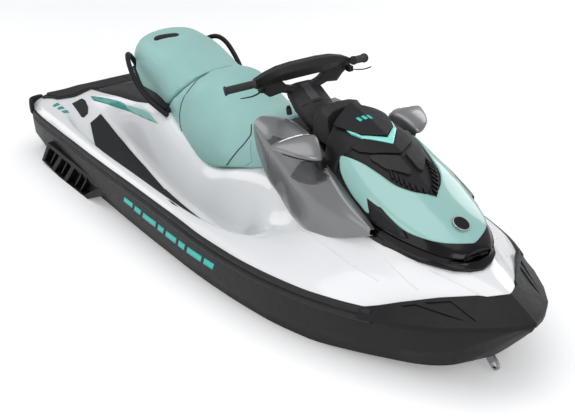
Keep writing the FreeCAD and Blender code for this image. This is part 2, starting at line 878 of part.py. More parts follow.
seat_stations = (-0.355, -0.337, -0.301, -0.256, -0.211, -0.166, -0.127, -0.084, -0.036, 0.015, 0.045)
seat_lines = [
    ((0.10, 0.20, 0.24, 0.25, 0.25, 0.25, 0.26, 0.26, 0.25, 0.22, 0.18), (1.2,) * 11),
    ((0.17, 0.27, 0.31, 0.32, 0.345, 0.37, 0.39, 0.40, 0.40, 0.37, 0.32),
     (1.70, 1.76, 1.86, 1.92, 1.82, 1.50, 1.30, 1.26, 1.46, 1.68, 1.80)),
    ((0.19, 0.27, 0.32, 0.327, 0.32, 0.303, 0.327, 0.327, 0.295, 0.263, 0.24),
     (2.24, 2.48, 2.62, 2.60, 2.48, 2.34, 2.40, 2.26, 2.16, 2.24, 2.32)),
    ((0.143, 0.207, 0.24, 0.24, 0.23, 0.223, 0.24, 0.24, 0.207, 0.19, 0.175),
     (2.48, 2.76, 2.90, 2.88, 2.78, 2.66, 2.72, 2.54, 2.42, 2.50, 2.54)),
    ((0,) * 11, (2.56, 2.86, 3.01, 2.99, 2.90, 2.78, 2.86, 2.66, 2.54, 2.62, 2.64)),
]


def seat_shape():
    rows = rows_from(seat_stations, seat_lines)
    return symmetric_skin([lifted_centre(rows[0], 0)] + rows)


def seat_parting():
    """Everything ahead of the inclined joint between the two cushions."""
    foot = place(-0.232, 0, 1.6)
    head = place(-0.120, 0, 3.2)
    ahead = mm.hull_length
    outline = [
        foot, head, FreeCAD.Vector(head.x + ahead, 0, head.z), FreeCAD.Vector(foot.x + ahead, 0, foot.z),
        FreeCAD.Vector(foot.x + ahead, 0, low), FreeCAD.Vector(foot.x, 0, low),
    ]
    outline = [point - FreeCAD.Vector(0, far_out, 0) for point in outline]
    face = Part.Face(Part.makePolygon(outline + outline[:1]))
    return face.extrude(FreeCAD.Vector(0, 2 * far_out, 0))


riser_solid = riser_shape().cut(deck_cover(0, mm.overrun))
seat_block = seat_shape().cut([deck_cover(mm.seat_gap, mm.overrun), riser_shape()])
parting = seat_parting()
parting_gap = parting.copy()
parting_gap.translate(FreeCAD.Vector(-mm.seat_gap, 0, 0))
keep("seat_riser", riser_solid)
keep("seat_front", seat_block.common(parting))
keep("seat_rear", seat_block.cut(parting_gap))

# Console, hood and fairings

hood_stations = (0.148, 0.181, 0.226, 0.271, 0.316, 0.361, 0.389, 0.401)
hood_ridge = ((0.143, 0.175, 0.183, 0.16, 0.135, 0.11, 0.08, 0.048),
              (3.20, 3.12, 2.97, 2.76, 2.50, 2.27, 2.08, 2.0))
hood_shoulder = ((0.24, 0.287, 0.327, 0.335, 0.303, 0.24, 0.16, 0.095),
                 (2.96, 2.86, 2.72, 2.52, 2.34, 2.16, 2.02, 1.96))
hood_edge = ((0.27, 0.327, 0.375, 0.39, 0.36, 0.287, 0.2, 0.127),
             (2.64, 2.52, 2.32, 2.16, 2.06, 1.98, 1.92, 1.90))
hood_centre = ((0,) * 8, (3.32, 3.22, 3.06, 2.82, 2.54, 2.30, 2.12, 2.02))
hood_rows = rows_from(hood_stations, [hood_edge, hood_shoulder, hood_ridge, hood_centre])


def hood_cover(rise, out, bottom):
    """The volume under the hood's outer surface, grown or shrunk."""
    rows = [shifted(row, out, rise) for row in hood_rows]
    edge = shifted(hood_rows[0], out, bottom)
    return symmetric_skin([lifted_centre(edge, 0), edge] + rows)


nose_x = hood_stations[-1] * mm.hull_length
hinge_x = nose_x - mm.hinge_setback
hinge_z = hood_edge[1][-1] * mm.freeboard - mm.hinge_drop
knuckle_inner = mm.knuckle_centre - mm.knuckle_width / 2
knuckle_outer = mm.knuckle_centre + mm.knuckle_width / 2


def hood_moulding():
    """The hood's skin, hollow behind a solid nose that carries its hinge."""
    outer = symmetric_skin([lifted_centre(hood_rows[0], 0)] + hood_rows)
    hollow = hood_cover(-mm.hood_wall, -mm.hood_wall, -mm.hood_skirt)
    inside = block(
        hood_rows[0][0].x + mm.hood_wall, hinge_x - mm.hinge_land, -far_out, far_out, 0, high,
    )
    return outer.cut(hollow.common(inside))


def make_hood_shell():
    """The moulding with two bored knuckles under its nose."""
    parts = [worked("HoodMoulding", hood_moulding())]
    for name, y0 in (("Port", knuckle_inner), ("Starboard", -knuckle_outer)):
        parts.append(cylinder(
            f"{name}Knuckle", mm.knuckle_radius, mm.knuckle_width, hinge_x, y0, hinge_z, to_port,
        ))
        parts.append(box(
            f"{name}Lug", hinge_x - mm.knuckle_radius, hinge_x + mm.knuckle_radius,
            y0, y0 + mm.knuckle_width, hinge_z, hinge_z + mm.hinge_drop + mm.hood_wall / 2,
        ))
    bore = cross_pin(
        "KnuckleBore", mm.hinge_pin_radius + mm.pin_clearance, knuckle_outer + mm.overrun,
        hinge_x, hinge_z,
    )
    return cut("HoodShell", joined("HoodWithKnuckles", parts), [bore])


def laid_on_hood(outline, thickness):
    sheet_top = hood_cover(thickness, thickness, -mm.overrun).common(outline)
    return sheet_top.cut(hood_cover(0, 0, -2 * mm.overrun))


top_panel_outline = plan([
    (0.1485, 0.225), (0.181, 0.285), (0.2124, 0.296), (0.2268, 0.279), (0.2452, 0.249),
    (0.2672, 0.218), (0.291, 0.185), (0.3087, 0.110), (0.328, 0),
    (0.3087, -0.110), (0.291, -0.185), (0.2672, -0.218), (0.2452, -0.249), (0.2268, -0.279),
    (0.2124, -0.296), (0.181, -0.285), (0.1485, -0.225),
])
accent_outline = plan([
    (0.1762, 0.204), (0.1988, 0.175), (0.2154, 0.137), (0.2419, 0), (0.2154, -0.137),
    (0.1988, -0.175), (0.1762, -0.204), (0.1958, -0.167), (0.2108, -0.132), (0.2304, 0),
    (0.2108, 0.132), (0.1958, 0.167),
])
grille_outline = plan([
    (0.2364, 0.199), (0.2578, 0.022), (0.2834, 0.024), (0.291, 0.035), (0.2669, 0.188),
    (0.2443, 0.215),
])
hood_panel = prism_up(top_panel_outline, low, high)
hood_band = prism_up(accent_outline, low, high)
hood_vents = both_plans(grille_outline, low, high)
keep_object("hood_shell", make_hood_shell())
keep("hood_top", laid_on_hood(hood_panel, mm.panel_thickness).cut([hood_band, hood_vents]))
keep("hood_accent", laid_on_hood(hood_band, mm.panel_thickness))
keep("hood_grille", laid_on_hood(hood_vents, mm.panel_thickness))


def rim_volume():
    """The coaming round the storage bin, up to just under the hood's edge."""
    edge = shifted(hood_rows[0], 0, -mm.moving_gap)
    foot = [FreeCAD.Vector(p.x, p.y, mm.freeboard) for p in edge]
    return symmetric_skin([lifted_centre(foot, 0), foot, edge, lifted_centre(edge, 0)])


def make_hood_rim():
    """The coaming, cut back at the nose, with two ears and the hinge's pin."""
    coaming = worked("Coaming", rim_volume().cut(deck_cover(0, mm.overrun)))
    notch_floor = hinge_z - mm.notch_drop
    notch = box(
        "HingeNotch", hinge_x - mm.notch_reach, nose_x + mm.overrun, -far_out, far_out,
        notch_floor, high,
    )
    parts = [cut("OpenCoaming", coaming, storage_well + [notch])]
    ear_inner = knuckle_outer + mm.hinge_gap
    ear_outer = ear_inner + mm.hinge_ear_width
    for name, y0 in (("Port", ear_inner), ("Starboard", -ear_outer)):
        parts.append(cylinder(
            f"{name}EarEye", mm.hinge_ear_radius, mm.hinge_ear_width, hinge_x, y0, hinge_z, to_port,
        ))
        parts.append(box(
            f"{name}Ear", hinge_x - mm.hinge_ear_radius, hinge_x + mm.hinge_ear_radius,
            y0, y0 + mm.hinge_ear_width, notch_floor - mm.hood_wall / 2, hinge_z,
        ))
    parts.append(cross_pin("HingePin", mm.hinge_pin_radius, ear_outer, hinge_x, hinge_z))
    return joined("HoodRim", parts)


keep_object("hood_rim", make_hood_rim())
keep_object("storage_bin", cut("StorageBin", well_block("BinOuter", 0), [
    well_block("BinInner", -mm.bin_wall),
]))


console_stations = (0.036, 0.060, 0.096, 0.130, 0.1445)
console_lines = [
    ((0.24, 0.27, 0.29, 0.30, 0.28), (1.2,) * 5),
    ((0.22, 0.25, 0.27, 0.27, 0.25), (2.46, 2.50, 2.54, 2.52, 2.44)),
    ((0.14, 0.15, 0.16, 0.16, 0.15), (2.56, 2.60, 2.62, 2.62, 2.58)),
    ((0, 0, 0, 0, 0), (2.58, 2.62, 2.64, 2.64, 2.60)),
]


def console_shape():
    rows = rows_from(console_stations, console_lines)
    return symmetric_skin([lifted_centre(rows[0], 0)] + rows)


fairing_stations = (0.036, 0.075, 0.115, 0.155, 0.21, 0.26, 0.305)
fairing_lines = [
    ((0.22,) * 7, (1.9, 1.7, 1.3, 1.3, 1.5, 1.7, 1.98)),
    ((0.36, 0.40, 0.42, 0.47, 0.52, 0.50, 0.44), (2.3, 1.86, 1.62, 1.50, 1.58, 1.78, 2.02)),
    ((0.38, 0.43, 0.46, 0.49, 0.51, 0.49, 0.44), (2.62, 2.56, 2.44, 2.34, 2.22, 2.14, 2.07)),
    ((0.35, 0.34, 0.35, 0.38, 0.42, 0.44, 0.43), (2.84, 3.0, 3.0, 2.90, 2.60, 2.32, 2.10)),
    ((0.22,) * 7, (2.80, 2.96, 2.98, 2.88, 2.56, 2.26, 2.05)),
]


def hood_way():
    """What the hood passes through as it lifts: straight up from its edge, and behind its rear."""
    low_edge = shifted(hood_rows[0], mm.moving_gap, -mm.overrun)
    high_edge = shifted(low_edge, 0, 2 * mm.freeboard)
    sides = symmetric_skin([
        lifted_centre(low_edge, 0), low_edge, high_edge, lifted_centre(high_edge, 0),
    ])
    rear = low_edge[0]
    behind = block(rear.x - mm.moving_gap, rear.x, -rear.y, rear.y, rear.z, high_edge[0].z)
    return [sides, behind]


def make_fairing():
    side = skin(rows_from(fairing_stations, fairing_lines))
    tools = [deck_cover(0, mm.overrun), console_shape(), seat_shape(), rim_volume()]
    return largest(side.cut(tools + hood_way()))


def make_console():
    """The cover over the column's foot, with a raked collar bored for the column."""
    cover = worked("ConsoleLines", console_shape())
    collar = column_rod("ColumnCollar", mm.collar_radius, -mm.collar_radius, 0)
    above_deck = cut("ConsoleAboveDeck", joined("ConsoleBlank", [cover, collar]), [
        worked("DeckSpace", deck_cover(0, mm.overrun)),
    ])
    behind = cut("ConsoleAhead", above_deck, [worked("SeatSpace", seat_shape())])
    bore = column_rod("ColumnBore", mm.column_hole_radius, -mm.stem_length, mm.stem_length)
    return cut("ConsoleCover", behind, [bore])


pod_stations = (0.116, 0.1205, 0.1325, 0.143)
pod_lines = [
    ((0.165, 0.185, 0.185, 0.165), (2.5,) * 4),
    ((0.155, 0.175, 0.175, 0.15), (2.92, 3.02, 3.06, 2.98)),
    ((0.10, 0.12, 0.12, 0.10), (3.06, 3.18, 3.22, 3.12)),
    ((0,) * 4, (3.10, 3.20, 3.24, 3.14)),
]


def pod_shape():
    rows = rows_from(pod_stations, pod_lines)
    return symmetric_skin([lifted_centre(rows[0], 0)] + rows)


console = keep_object("console", make_console())
keep_object("gauge_pod", cut("GaugePod", worked("PodLines", pod_shape()), [console]))
fairing = make_fairing()
keep("side_fairings", both_sides(fairing))


# Steering: the stem, the neck cover, the bar, the grips and the levers

def on_bar(out, y, rise):
    """A place on the bar, counted out ahead of its plane, to port, and up along its lean."""
    return (
        mm.bar_x + out * cosine(mm.bar_rake) + rise * sine(mm.bar_rake),
        y,
        mm.bar_foot - out * sine(mm.bar_rake) + rise * cosine(mm.bar_rake),
    )


def whole_outline(half):
    """Both halves of a front view whose first and last corners are on the middle line."""
    return list(half) + [(-y, z) for y, z in reversed(half) if y > 0]


def make_bar():
    """A faceted plate with a cut-out, made both ways from its own leaning plane."""
    width = mm.bar_half_width
    rise = mm.bar_height
    plate_corners = [(y * width, z * rise) for y, z in bar_outline_shares]
    opening_corners = [(y * width, z * rise) for y, z in bar_opening_shares]
    body = new_body("Bar", mm.bar_x, 0, mm.bar_foot, FreeCAD.Rotation(across, mm.bar_rake))
    body.setExpression(".Placement.Rotation.Angle", mm.bar_rake.expression)
    plate = outline_on(body, "BarOutline", "YZ_Plane", whole_outline(plate_corners))
    padded(body, "BarPlate", plate, mm.bar_thickness, symmetric=True)
    opening = outline_on(body, "BarOpeningOutline", "YZ_Plane", whole_outline(opening_corners))
    pocketed(body, "BarOpening", opening, mm.bar_thickness + mm.overrun)
    return body


bar_outline_shares = (
    (0, 0), (0.19, 0), (0.50, 0.10), (0.71, -0.09), (0.96, 0.34), (1, 0.40), (1, 0.60),
    (0.84, 0.81), (0.55, 0.98), (0, 1),
)
bar_opening_shares = ((0, 0.22), (0.12, 0.22), (0.38, 0.36), (0.40, 0.56), (0, 0.56))
neck_section_shares = ((0, 0.92, 0.92), (0.45, 0.9, 0.95), (1, 0.55, 0.8))
neck_outline_shares = ((-1, -0.6), (0.5, -1), (1, -0.4), (1, 0.4), (0.5, 1), (-1, 0.6))


def column_point(along):
    """A point of the steering axis, counted from the console's top up the rake."""
    rake = math.radians(mm.steering_rake)
    return FreeCAD.Vector(
        mm.column_x - along * math.sin(rake), 0, mm.column_top + along * math.cos(rake)
    )


def neck_shape():
    """The faceted cover that carries the bar on the stem, turned with the column at its foot."""
    foot = column_point(mm.moving_gap)
    head = FreeCAD.Vector(mm.bar_x, 0, mm.bar_foot)
    sections = []
    for share, long_share, wide_share in neck_section_shares:
        centre = foot + (head - foot) * share
        lean = FreeCAD.Rotation(across, -mm.steering_rake * (1 - share))
        corners = []
        for i, j in neck_outline_shares:
            offset = FreeCAD.Vector(
                i * long_share * mm.neck_length / 2, j * wide_share * mm.neck_width / 2, 0,
            )
            corners.append(centre + lean.multVec(offset))
        sections.append(Part.makePolygon(corners + corners[:1]))
    return Part.makeLoft(sections, True, True)


def make_grip(name, side):
    """A turned grip with a flange at each end, out from the bar's end with a little sweep."""
    x, y, z = on_bar(0, side * mm.bar_half_width, grip_rise_share * mm.bar_height)
    body = new_body(name, x, y, z, FreeCAD.Rotation(up, side * (90 + mm.grip_sweep)))
    profile = outline_on(body, f"{name}Profile", "XY_Plane", [
        (-mm.grip_root, 0), (mm.grip_length, 0), (mm.grip_length, mm.grip_flange_radius),
        (mm.grip_length - mm.grip_flange_width, mm.grip_flange_radius),
        (mm.grip_length - mm.grip_flange_width, mm.grip_radius),
        (mm.grip_flange_width, mm.grip_radius), (mm.grip_flange_width, mm.grip_flange_radius),
        (0, mm.grip_flange_radius), (0, mm.grip_radius), (-mm.grip_root, mm.grip_radius),
    ])
    turned(body, f"{name}Turning", profile, "H_Axis")
    return cut(f"{name}Seated", body, [handlebar])


def lever_shape(side):
    """A blade ahead of the grip, carried by a block on the bar."""
    start = FreeCAD.Vector(*on_bar(
        mm.bar_thickness / 2, side * lever_place_share * mm.bar_half_width,
        lever_rise_share * mm.bar_height,
    ))
    knee = start + FreeCAD.Vector(mm.lever_reach, side * mm.lever_reach, -mm.lever_thickness)
    end = knee + FreeCAD.Vector(-mm.lever_length / 4, side * mm.lever_length, 0)
    radius = mm.lever_thickness / 2
    return rod(radius, start, knee).fuse([rod(radius, knee, end), Part.makeSphere(radius, knee)])


grip_rise_share = 0.48
lever_place_share = 0.86
lever_rise_share = 0.40
handlebar = keep_object("handlebar", make_bar())
neck = cut("NeckCover", worked("NeckLines", neck_shape()), [handlebar])
keep_object("steering_neck", neck)
stem = column_rod("Stem", mm.stem_radius, -stem_share * mm.stem_length, 2 * mm.moving_gap)
keep_object("steering_stem", cut("StemSeated", stem, [neck]))
keep_object("grip_port", make_grip("PortGrip", 1))
keep_object("grip_starboard", make_grip("StarboardGrip", -1))
for label, side in (("brake_lever", 1), ("throttle_lever", -1)):
    keep_object(label, cut(f"{label}_seated", worked(f"{label}_blade", lever_shape(side)), [handlebar]))




# Grab rails, mirrors and sponsons

def bent_tube(points, radius, bend):
    """A round tube along straight runs joined by tangent arcs."""
    edges = []
    start = points[0]
    for before, corner, after in zip(points, points[1:], points[2:]):
        back = (before - corner).normalize()
        on = (after - corner).normalize()
        turn = math.pi - back.getAngle(on)
        trim = bend * math.tan(turn / 2)
        first = corner + back * trim
        last = corner + on * trim
        middle_way = (back + on).normalize()
        middle = corner + middle_way * (bend / math.cos(turn / 2) - bend)
        edges.append(Part.LineSegment(start, first).toShape())
        edges.append(Part.Arc(first, middle, last).toShape())
        start = last
    edges.append(Part.LineSegment(start, points[-1]).toShape())
    path = Part.Wire(edges)
    profile = Part.Wire(Part.makeCircle(radius, points[0], points[1] - points[0]))
    return path.makePipeShell([profile], True, False)


grab_rail_shares = [
    (-0.318, 0.30, 2.62), (-0.292, 0.43, 2.66), (-0.272, 0.46, 2.40),
    (-0.235, 0.45, 2.12), (-0.205, 0.41, 1.98), (-0.190, 0.34, 1.84),
]
grab_points = [place(*shares) for shares in grab_rail_shares]
grab_tube = bent_tube(grab_points, mm.rail_tube_radius, mm.rail_bend)
grab_tube = grab_tube.cut([seat_shape(), riser_shape(), deck_cover(0, mm.overrun)])
grab_tube = largest(grab_tube)
keep("grab_rails", both_sides(grab_tube))


def mirror_section(centre, along, width, height):
    """A five-sided section across the mirror's long axis."""
    side = along.cross(up).normalize()
    corners = [
        centre + side * (0.5 * width) - up * (0.2 * height),
        centre + side * (0.35 * width) + up * (0.35 * height),
        centre + up * (0.5 * height) - side * (0.1 * width),
        centre - side * (0.5 * width) + up * (0.1 * height),
        centre - side * (0.3 * width) - up * (0.5 * height),
    ]
    return Part.makePolygon(corners + corners[:1])


mirror_root_shares = (0.194, 0.36, 2.86)
mirror_tip_shares = (0.145, 0.65, 2.87)
mirror_root = place(*mirror_root_shares)
mirror_tip = place(*mirror_tip_shares)


def make_mirror():
    along = (mirror_tip - mirror_root).normalize()
    length = (mirror_tip - mirror_root).Length
    sections = [
        mirror_section(mirror_root, along, mm.mirror_width, mm.mirror_height),
        mirror_section(
            mirror_root + along * (0.35 * length), along, 0.95 * mm.mirror_width, mm.mirror_height,
        ),
        mirror_section(
            mirror_root + along * (0.75 * length), along, 0.55 * mm.mirror_width, 0.6 * mm.mirror_height,
        ),
        mirror_section(mirror_tip, along, 0.08 * mm.mirror_width, 0.1 * mm.mirror_height),
    ]
    shell = Part.makeLoft(sections, True, True)
    return largest(shell.cut([fairing] + hood_way()))


mirror = make_mirror()
keep("mirrors", both_sides(mirror))

sponson_stations = (-0.424, -0.404, -0.30, -0.235, -0.185)
sponson_lines = [
    ((0.70,) * 5, (0.06, 0.02, -0.04, -0.08, 0.44)),
    ((0.90, 0.965, 0.985, 0.965, 0.90), (0.10, 0.05, -0.02, -0.06, 0.46)),
    ((0.90, 0.965, 0.985, 0.965, 0.90), (0.46, 0.58, 0.57, 0.55, 0.50)),
    ((0.70,) * 5, (0.50, 0.62, 0.62, 0.60, 0.52)),
]


def make_sponson():
    rows = rows_from(sponson_stations, sponson_lines)
    body = skin(rows)
    pocket = mm.sponson_pocket
    pockets = []
    for index in range(3):
        x0 = rows[0][0].x + mm.overrun + index * (pocket + mm.sponson_rib)
        pockets.append(block(
            x0, x0 + pocket, rows[1][1].y - mm.sponson_depth, far_out,
            rows[1][1].z + mm.sponson_rib / 2, rows[2][1].z - mm.sponson_rib / 2,
        ))
    return largest(body.cut(hull_skin).cut(deck_skin).cut(pockets))


sponson = make_sponson()
keep("sponsons", both_sides(sponson))


# Engine, jet pump and steering nozzle

bore_radius = mm.pump_radius - mm.pump_wall
throat_radius = mm.nozzle_radius - mm.nozzle_wall
stator_x = pump_front_x - mm.impeller_setback - mm.hub_length - mm.running_gap
nozzle_x = venturi_x - mm.nozzle_setback
bucket_x = nozzle_x
impeller_x = stator_x + mm.running_gap
keep_object("engine", box(
    "Engine", engine_rear_x, engine_rear_x + mm.engine_length,
    -mm.engine_width / 2, mm.engine_width / 2, -mm.bay_floor, mm.engine_height - mm.bay_floor,
))


def circle_on(body, name, role, radius):
    """A circle about the body's own origin."""
    planes = {feature.Role: feature for feature in body.Origin.OriginFeatures}
    sketch = body.newObject("Sketcher::SketchObject", name)
    sketch.AttachmentSupport = (planes[role], [""])
    sketch.MapMode = "FlatFace"
    sketch.addGeometry(Part.Circle(FreeCAD.Vector(0, 0, 0), up, radius), False)
    sketch.addConstraint(Sketcher.Constraint("Coincident", 0, 3, -1, 1))
    number = sketch.addConstraint(Sketcher.Constraint("Radius", 0, float(radius)))
    sketch.setExpression(f"Constraints[{number}]", radius.expression)
    return sketch


def spread_round(body, name, feature, count):
    """Copies of a feature, evenly round the body's X axis."""
    axes = {origin.Role: origin for origin in body.Origin.OriginFeatures}
    pattern = body.newObject("PartDesign::PolarPattern", name)
    pattern.Originals = [feature]
    pattern.Axis = (axes["X_Axis"], [""])
    pattern.Angle = 360
    pattern.setExpression("Occurrences", count.expression)
    body.Tip = pattern
    return pattern


def make_stator():
    """The fixed hub behind the impeller, with its straight vanes."""
    body = new_body("Stator", stator_x - mm.vane_length, 0, pump_z)
    padded(body, "StatorHub", circle_on(body, "StatorCircle", "YZ_Plane", mm.hub_radius), mm.vane_length)
    half = mm.blade_thickness / 2
    vane_root = mm.hub_radius / 2
    vane_tip = bore_radius + mm.pump_wall / 2
    section = outline_on(body, "VaneSection", "YZ_Plane", [
        (-half, vane_root), (half, vane_root), (half, vane_tip), (-half, vane_tip),
    ])
    vane = padded(body, "Vane", section, mm.vane_length)
    spread_round(body, "Vanes", vane, mm.vane_count)
    return body


def yoke(name, side):
    """One arm behind the housing's throat, with the pin that the nozzle turns on."""
    pin_root = pump_z + side * (mm.nozzle_radius + mm.yoke_gap)
    arm_z = pin_root + side * mm.nozzle_boss
    pin_low = min(pin_root, pin_root + side * mm.yoke_height)
    arm_low = min(arm_z, arm_z + side * mm.plate_thickness)
    reach = 2 * mm.nozzle_pin_radius
    return [
        cylinder(f"{name}Pin", mm.nozzle_pin_radius, mm.yoke_height, nozzle_x, 0, pin_low),
        box(
            f"{name}Arm", nozzle_x - reach, venturi_x + mm.venturi_length / 2, -reach, reach,
            arm_low, arm_low + mm.plate_thickness,
        ),
    ]


def bucket_bracket(name, side):
    """A plate beside the throat, with its foot on the barrel and the bucket's pin."""
    out = mm.bucket_half_width - mm.bucket_wall - mm.moving_gap
    plate_low = min(side * out, side * (out - mm.plate_thickness))
    foot_low = min(side * bore_radius, side * out)
    pin_low = min(side * (out - mm.plate_thickness), side * mm.bucket_half_width)
    pin_length = mm.bucket_half_width - out + mm.plate_thickness
    half = mm.ear_half_height
    return [
        box(
            f"{name}Plate", venturi_x - mm.ear_reach, pump_rear_x + mm.overrun,
            plate_low, plate_low + mm.plate_thickness, pump_z - half, pump_z + half,
        ),
        box(
            f"{name}Foot", pump_rear_x, pump_rear_x + mm.overrun,
            foot_low, foot_low + (out - bore_radius), pump_z - half, pump_z + half,
        ),
        cylinder(f"{name}BucketPin", mm.bucket_pin_radius, pin_length, bucket_x, pin_low, pump_z, to_port),
    ]


def make_pump_housing():
    """Barrel, throat, flange, arms and brackets, bored through, with the stator in it."""
    outside = [
        shaft("Barrel", mm.pump_radius, pump_rear_x, pump_front_x),
        cone("Throat", mm.nozzle_radius, mm.pump_radius, venturi_x, pump_rear_x),
        box(
            "PumpFlange", pump_front_x - mm.plate_thickness, pump_front_x, -half_tunnel, half_tunnel,
            pump_z - mm.pump_radius - mm.pump_wall, tunnel_top,
        ),
    ]
    outside += yoke("Upper", 1) + yoke("Lower", -1)
    outside += bucket_bracket("Port", 1) + bucket_bracket("Starboard", -1)
    bores = [
        shaft("BarrelBore", bore_radius, pump_rear_x, pump_front_x + mm.overrun),
        cone("ThroatBore", throat_radius, bore_radius, venturi_x, pump_rear_x),
        shaft("ThroatMouth", throat_radius, venturi_x - mm.overrun, venturi_x),
    ]
    tail_x = stator_x - mm.vane_length
    tail = cone("StatorTail", mm.shaft_radius / 2, mm.hub_radius, tail_x - mm.tail_length, tail_x)
    shell = cut("PumpShell", joined("PumpOutside", outside), bores)
    return joined("PumpHousing", [shell, make_stator(), tail])


def make_nozzle():
    """A tapered spout, cut back in front to swing clear, with a bored boss above and below."""
    exit_x = nozzle_x - mm.nozzle_length
    front_x = nozzle_x - mm.nozzle_cutback
    outside = [cone("NozzleOutside", mm.nozzle_exit_radius, mm.nozzle_radius, exit_x, front_x)]
    holes = [cone("NozzleBore", mm.nozzle_exit_radius - mm.nozzle_wall, throat_radius, exit_x, front_x)]
    boss_height = mm.nozzle_wall + mm.yoke_gap + mm.nozzle_boss - mm.running_gap
    hole_start = mm.nozzle_radius + mm.yoke_gap - mm.pin_clearance
    hole_height = mm.yoke_height + mm.overrun
    for name, side in (("Upper", 1), ("Lower", -1)):
        boss_low = min(side * throat_radius, side * (throat_radius + boss_height))
        hole_low = min(side * hole_start, side * (hole_start + hole_height))
        outside.append(cylinder(
            f"{name}Boss", 2 * mm.nozzle_pin_radius, boss_height, nozzle_x, 0, pump_z + boss_low,
        ))
        holes.append(cylinder(
            f"{name}BossBore", mm.nozzle_pin_radius + mm.pin_clearance, hole_height,
            nozzle_x, 0, pump_z + hole_low,
        ))
    return cut("Nozzle", joined("NozzleBlank", outside), holes)


def sector(name, radius, half_width, start_angle, end_angle):
    """A wedge of a cylinder about the bucket's pivot, its angles counted up from astern."""
    start = math.radians(start_angle)
    astern = FreeCAD.Vector(-math.cos(start), 0, math.sin(start))
    lean = FreeCAD.Rotation(astern, across.cross(astern), across, "ZXY")
    feature = cylinder(name, radius, 2 * half_width, bucket_x, -half_width, pump_z, lean)
    bind(feature, Angle=end_angle - start_angle)
    return feature


def make_bucket():
    """A curved scoop between two cheeks that hang on the brackets' pins."""
    outside = sector(
        "Scoop", mm.bucket_radius, mm.bucket_half_width, mm.bucket_start, mm.bucket_end,
    )
    hollow = sector(
        "ScoopHollow", mm.bucket_radius - mm.bucket_wall, mm.bucket_half_width - mm.bucket_wall,
        mm.bucket_start - mm.bucket_open_angle, mm.bucket_end + mm.bucket_open_angle,
    )
    cheek_in = mm.bucket_half_width - mm.bucket_wall
    bosses = [
        cylinder(
            f"{name}CheekBoss", 2 * mm.bucket_pin_radius, mm.bucket_wall, bucket_x, y0, pump_z, to_port,
        )
        for name, y0 in (("Port", cheek_in), ("Starboard", -mm.bucket_half_width))
    ]
    hole = cross_pin(
        "CheekBore", mm.bucket_pin_radius + mm.pin_clearance, mm.bucket_half_width + mm.overrun,
        bucket_x, pump_z,
    )
    return cut("Bucket", joined("BucketBlank", [cut("OpenScoop", outside, [hollow])] + bosses), [hole])


def make_impeller():
    """The hub with raked blades that sweep the bore, each blade a twisted loft."""
    body = new_body("Impeller", impeller_x, 0, pump_z)
    padded(body, "ImpellerHub", circle_on(body, "HubCircle", "YZ_Plane", mm.hub_radius), mm.hub_length)
    tip_radius = bore_radius - mm.blade_gap
    half = mm.blade_thickness / 2
    root = mm.hub_radius / 2
    steps = int(round(mm.blade_steps))
    sections = []
    for step in range(steps + 1):
        share = step / steps
        section = outline_on(body, f"BladeSection{step}", "YZ_Plane", [
            (root, -half), (tip_radius, -half), (tip_radius, half), (root, half),
        ])
        along = mm.blade_inset + share * (mm.hub_length - 2 * mm.blade_inset)
        section.AttachmentOffset = FreeCAD.Placement(
            FreeCAD.Vector(0, 0, along), FreeCAD.Rotation(up, share * mm.blade_twist)
        )
        section.setExpression(".AttachmentOffset.Base.z", along.expression)
        sections.append(section)
    blade = body.newObject("PartDesign::AdditiveLoft", "Blade")
    blade.Profile = sections[0]
    blade.Sections = sections[1:]
    blade.Ruled = True
    spread_round(body, "Blades", blade, mm.blade_count)
    return body


def make_grate():
    """A framed rack of bars over the intake."""
    body = new_body("IntakeGrate", tunnel_x, 0, grate_top - mm.grate_depth)
    length = mm.grate_length
    bar = mm.grate_bar
    frame = outline_on(body, "GrateOutline", "XY_Plane", [
        (0, -half_duct), (length, -half_duct), (length, half_duct), (0, half_duct),
    ])
    padded(body, "GrateFrame", frame, mm.grate_depth)
    window = outline_on(body, "GrateWindow", "XY_Plane", [
        (bar, bar - half_duct), (length - 2 * bar, bar - half_duct),
        (length - 2 * bar, half_duct - bar), (bar, half_duct - bar),
    ])
    pocketed(body, "GrateOpening", window, 2 * mm.grate_depth + mm.overrun)
    pitch = mm.duct_width / (mm.grate_bars + 1)
    first = pitch - half_duct - bar / 2
    section = outline_on(body, "GrateBarOutline", "XY_Plane", [
        (bar / 2, first), (length - bar / 2, first), (length - bar / 2, first + bar), (bar / 2, first + bar),
    ])
    rod_pad = padded(body, "GrateBar", section, mm.grate_depth)
    axes = {origin.Role: origin for origin in body.Origin.OriginFeatures}
    pattern = body.newObject("PartDesign::LinearPattern", "GrateBars")
    pattern.Originals = [rod_pad]
    pattern.Direction = (axes["Y_Axis"], [""])
    bind(pattern, Length=pitch * (mm.grate_bars - 1), Occurrences=mm.grate_bars)
    body.Tip = pattern
    return body


keep_object("pump_housing", make_pump_housing())
keep_object("jet_nozzle", make_nozzle())
keep_object("reverse_bucket", make_bucket())
keep_object("impeller", make_impeller())
keep_object("drive_shaft", shaft(
    "DriveShaft", mm.shaft_radius, impeller_x + mm.hub_length, engine_rear_x - mm.running_gap,
))
keep_object("intake_grate", make_grate())
plate_top = pump_z - mm.pump_radius - mm.pump_wall
keep_object("ride_plate", box(
    "RidePlate", pump_rear_x - mm.plate_tail, tunnel_x, -half_tunnel, half_tunnel,
    plate_top - mm.plate_thickness, plate_top,
))


# Eyes and sockets

moulding = worked("MouldingCore", moulding_core())


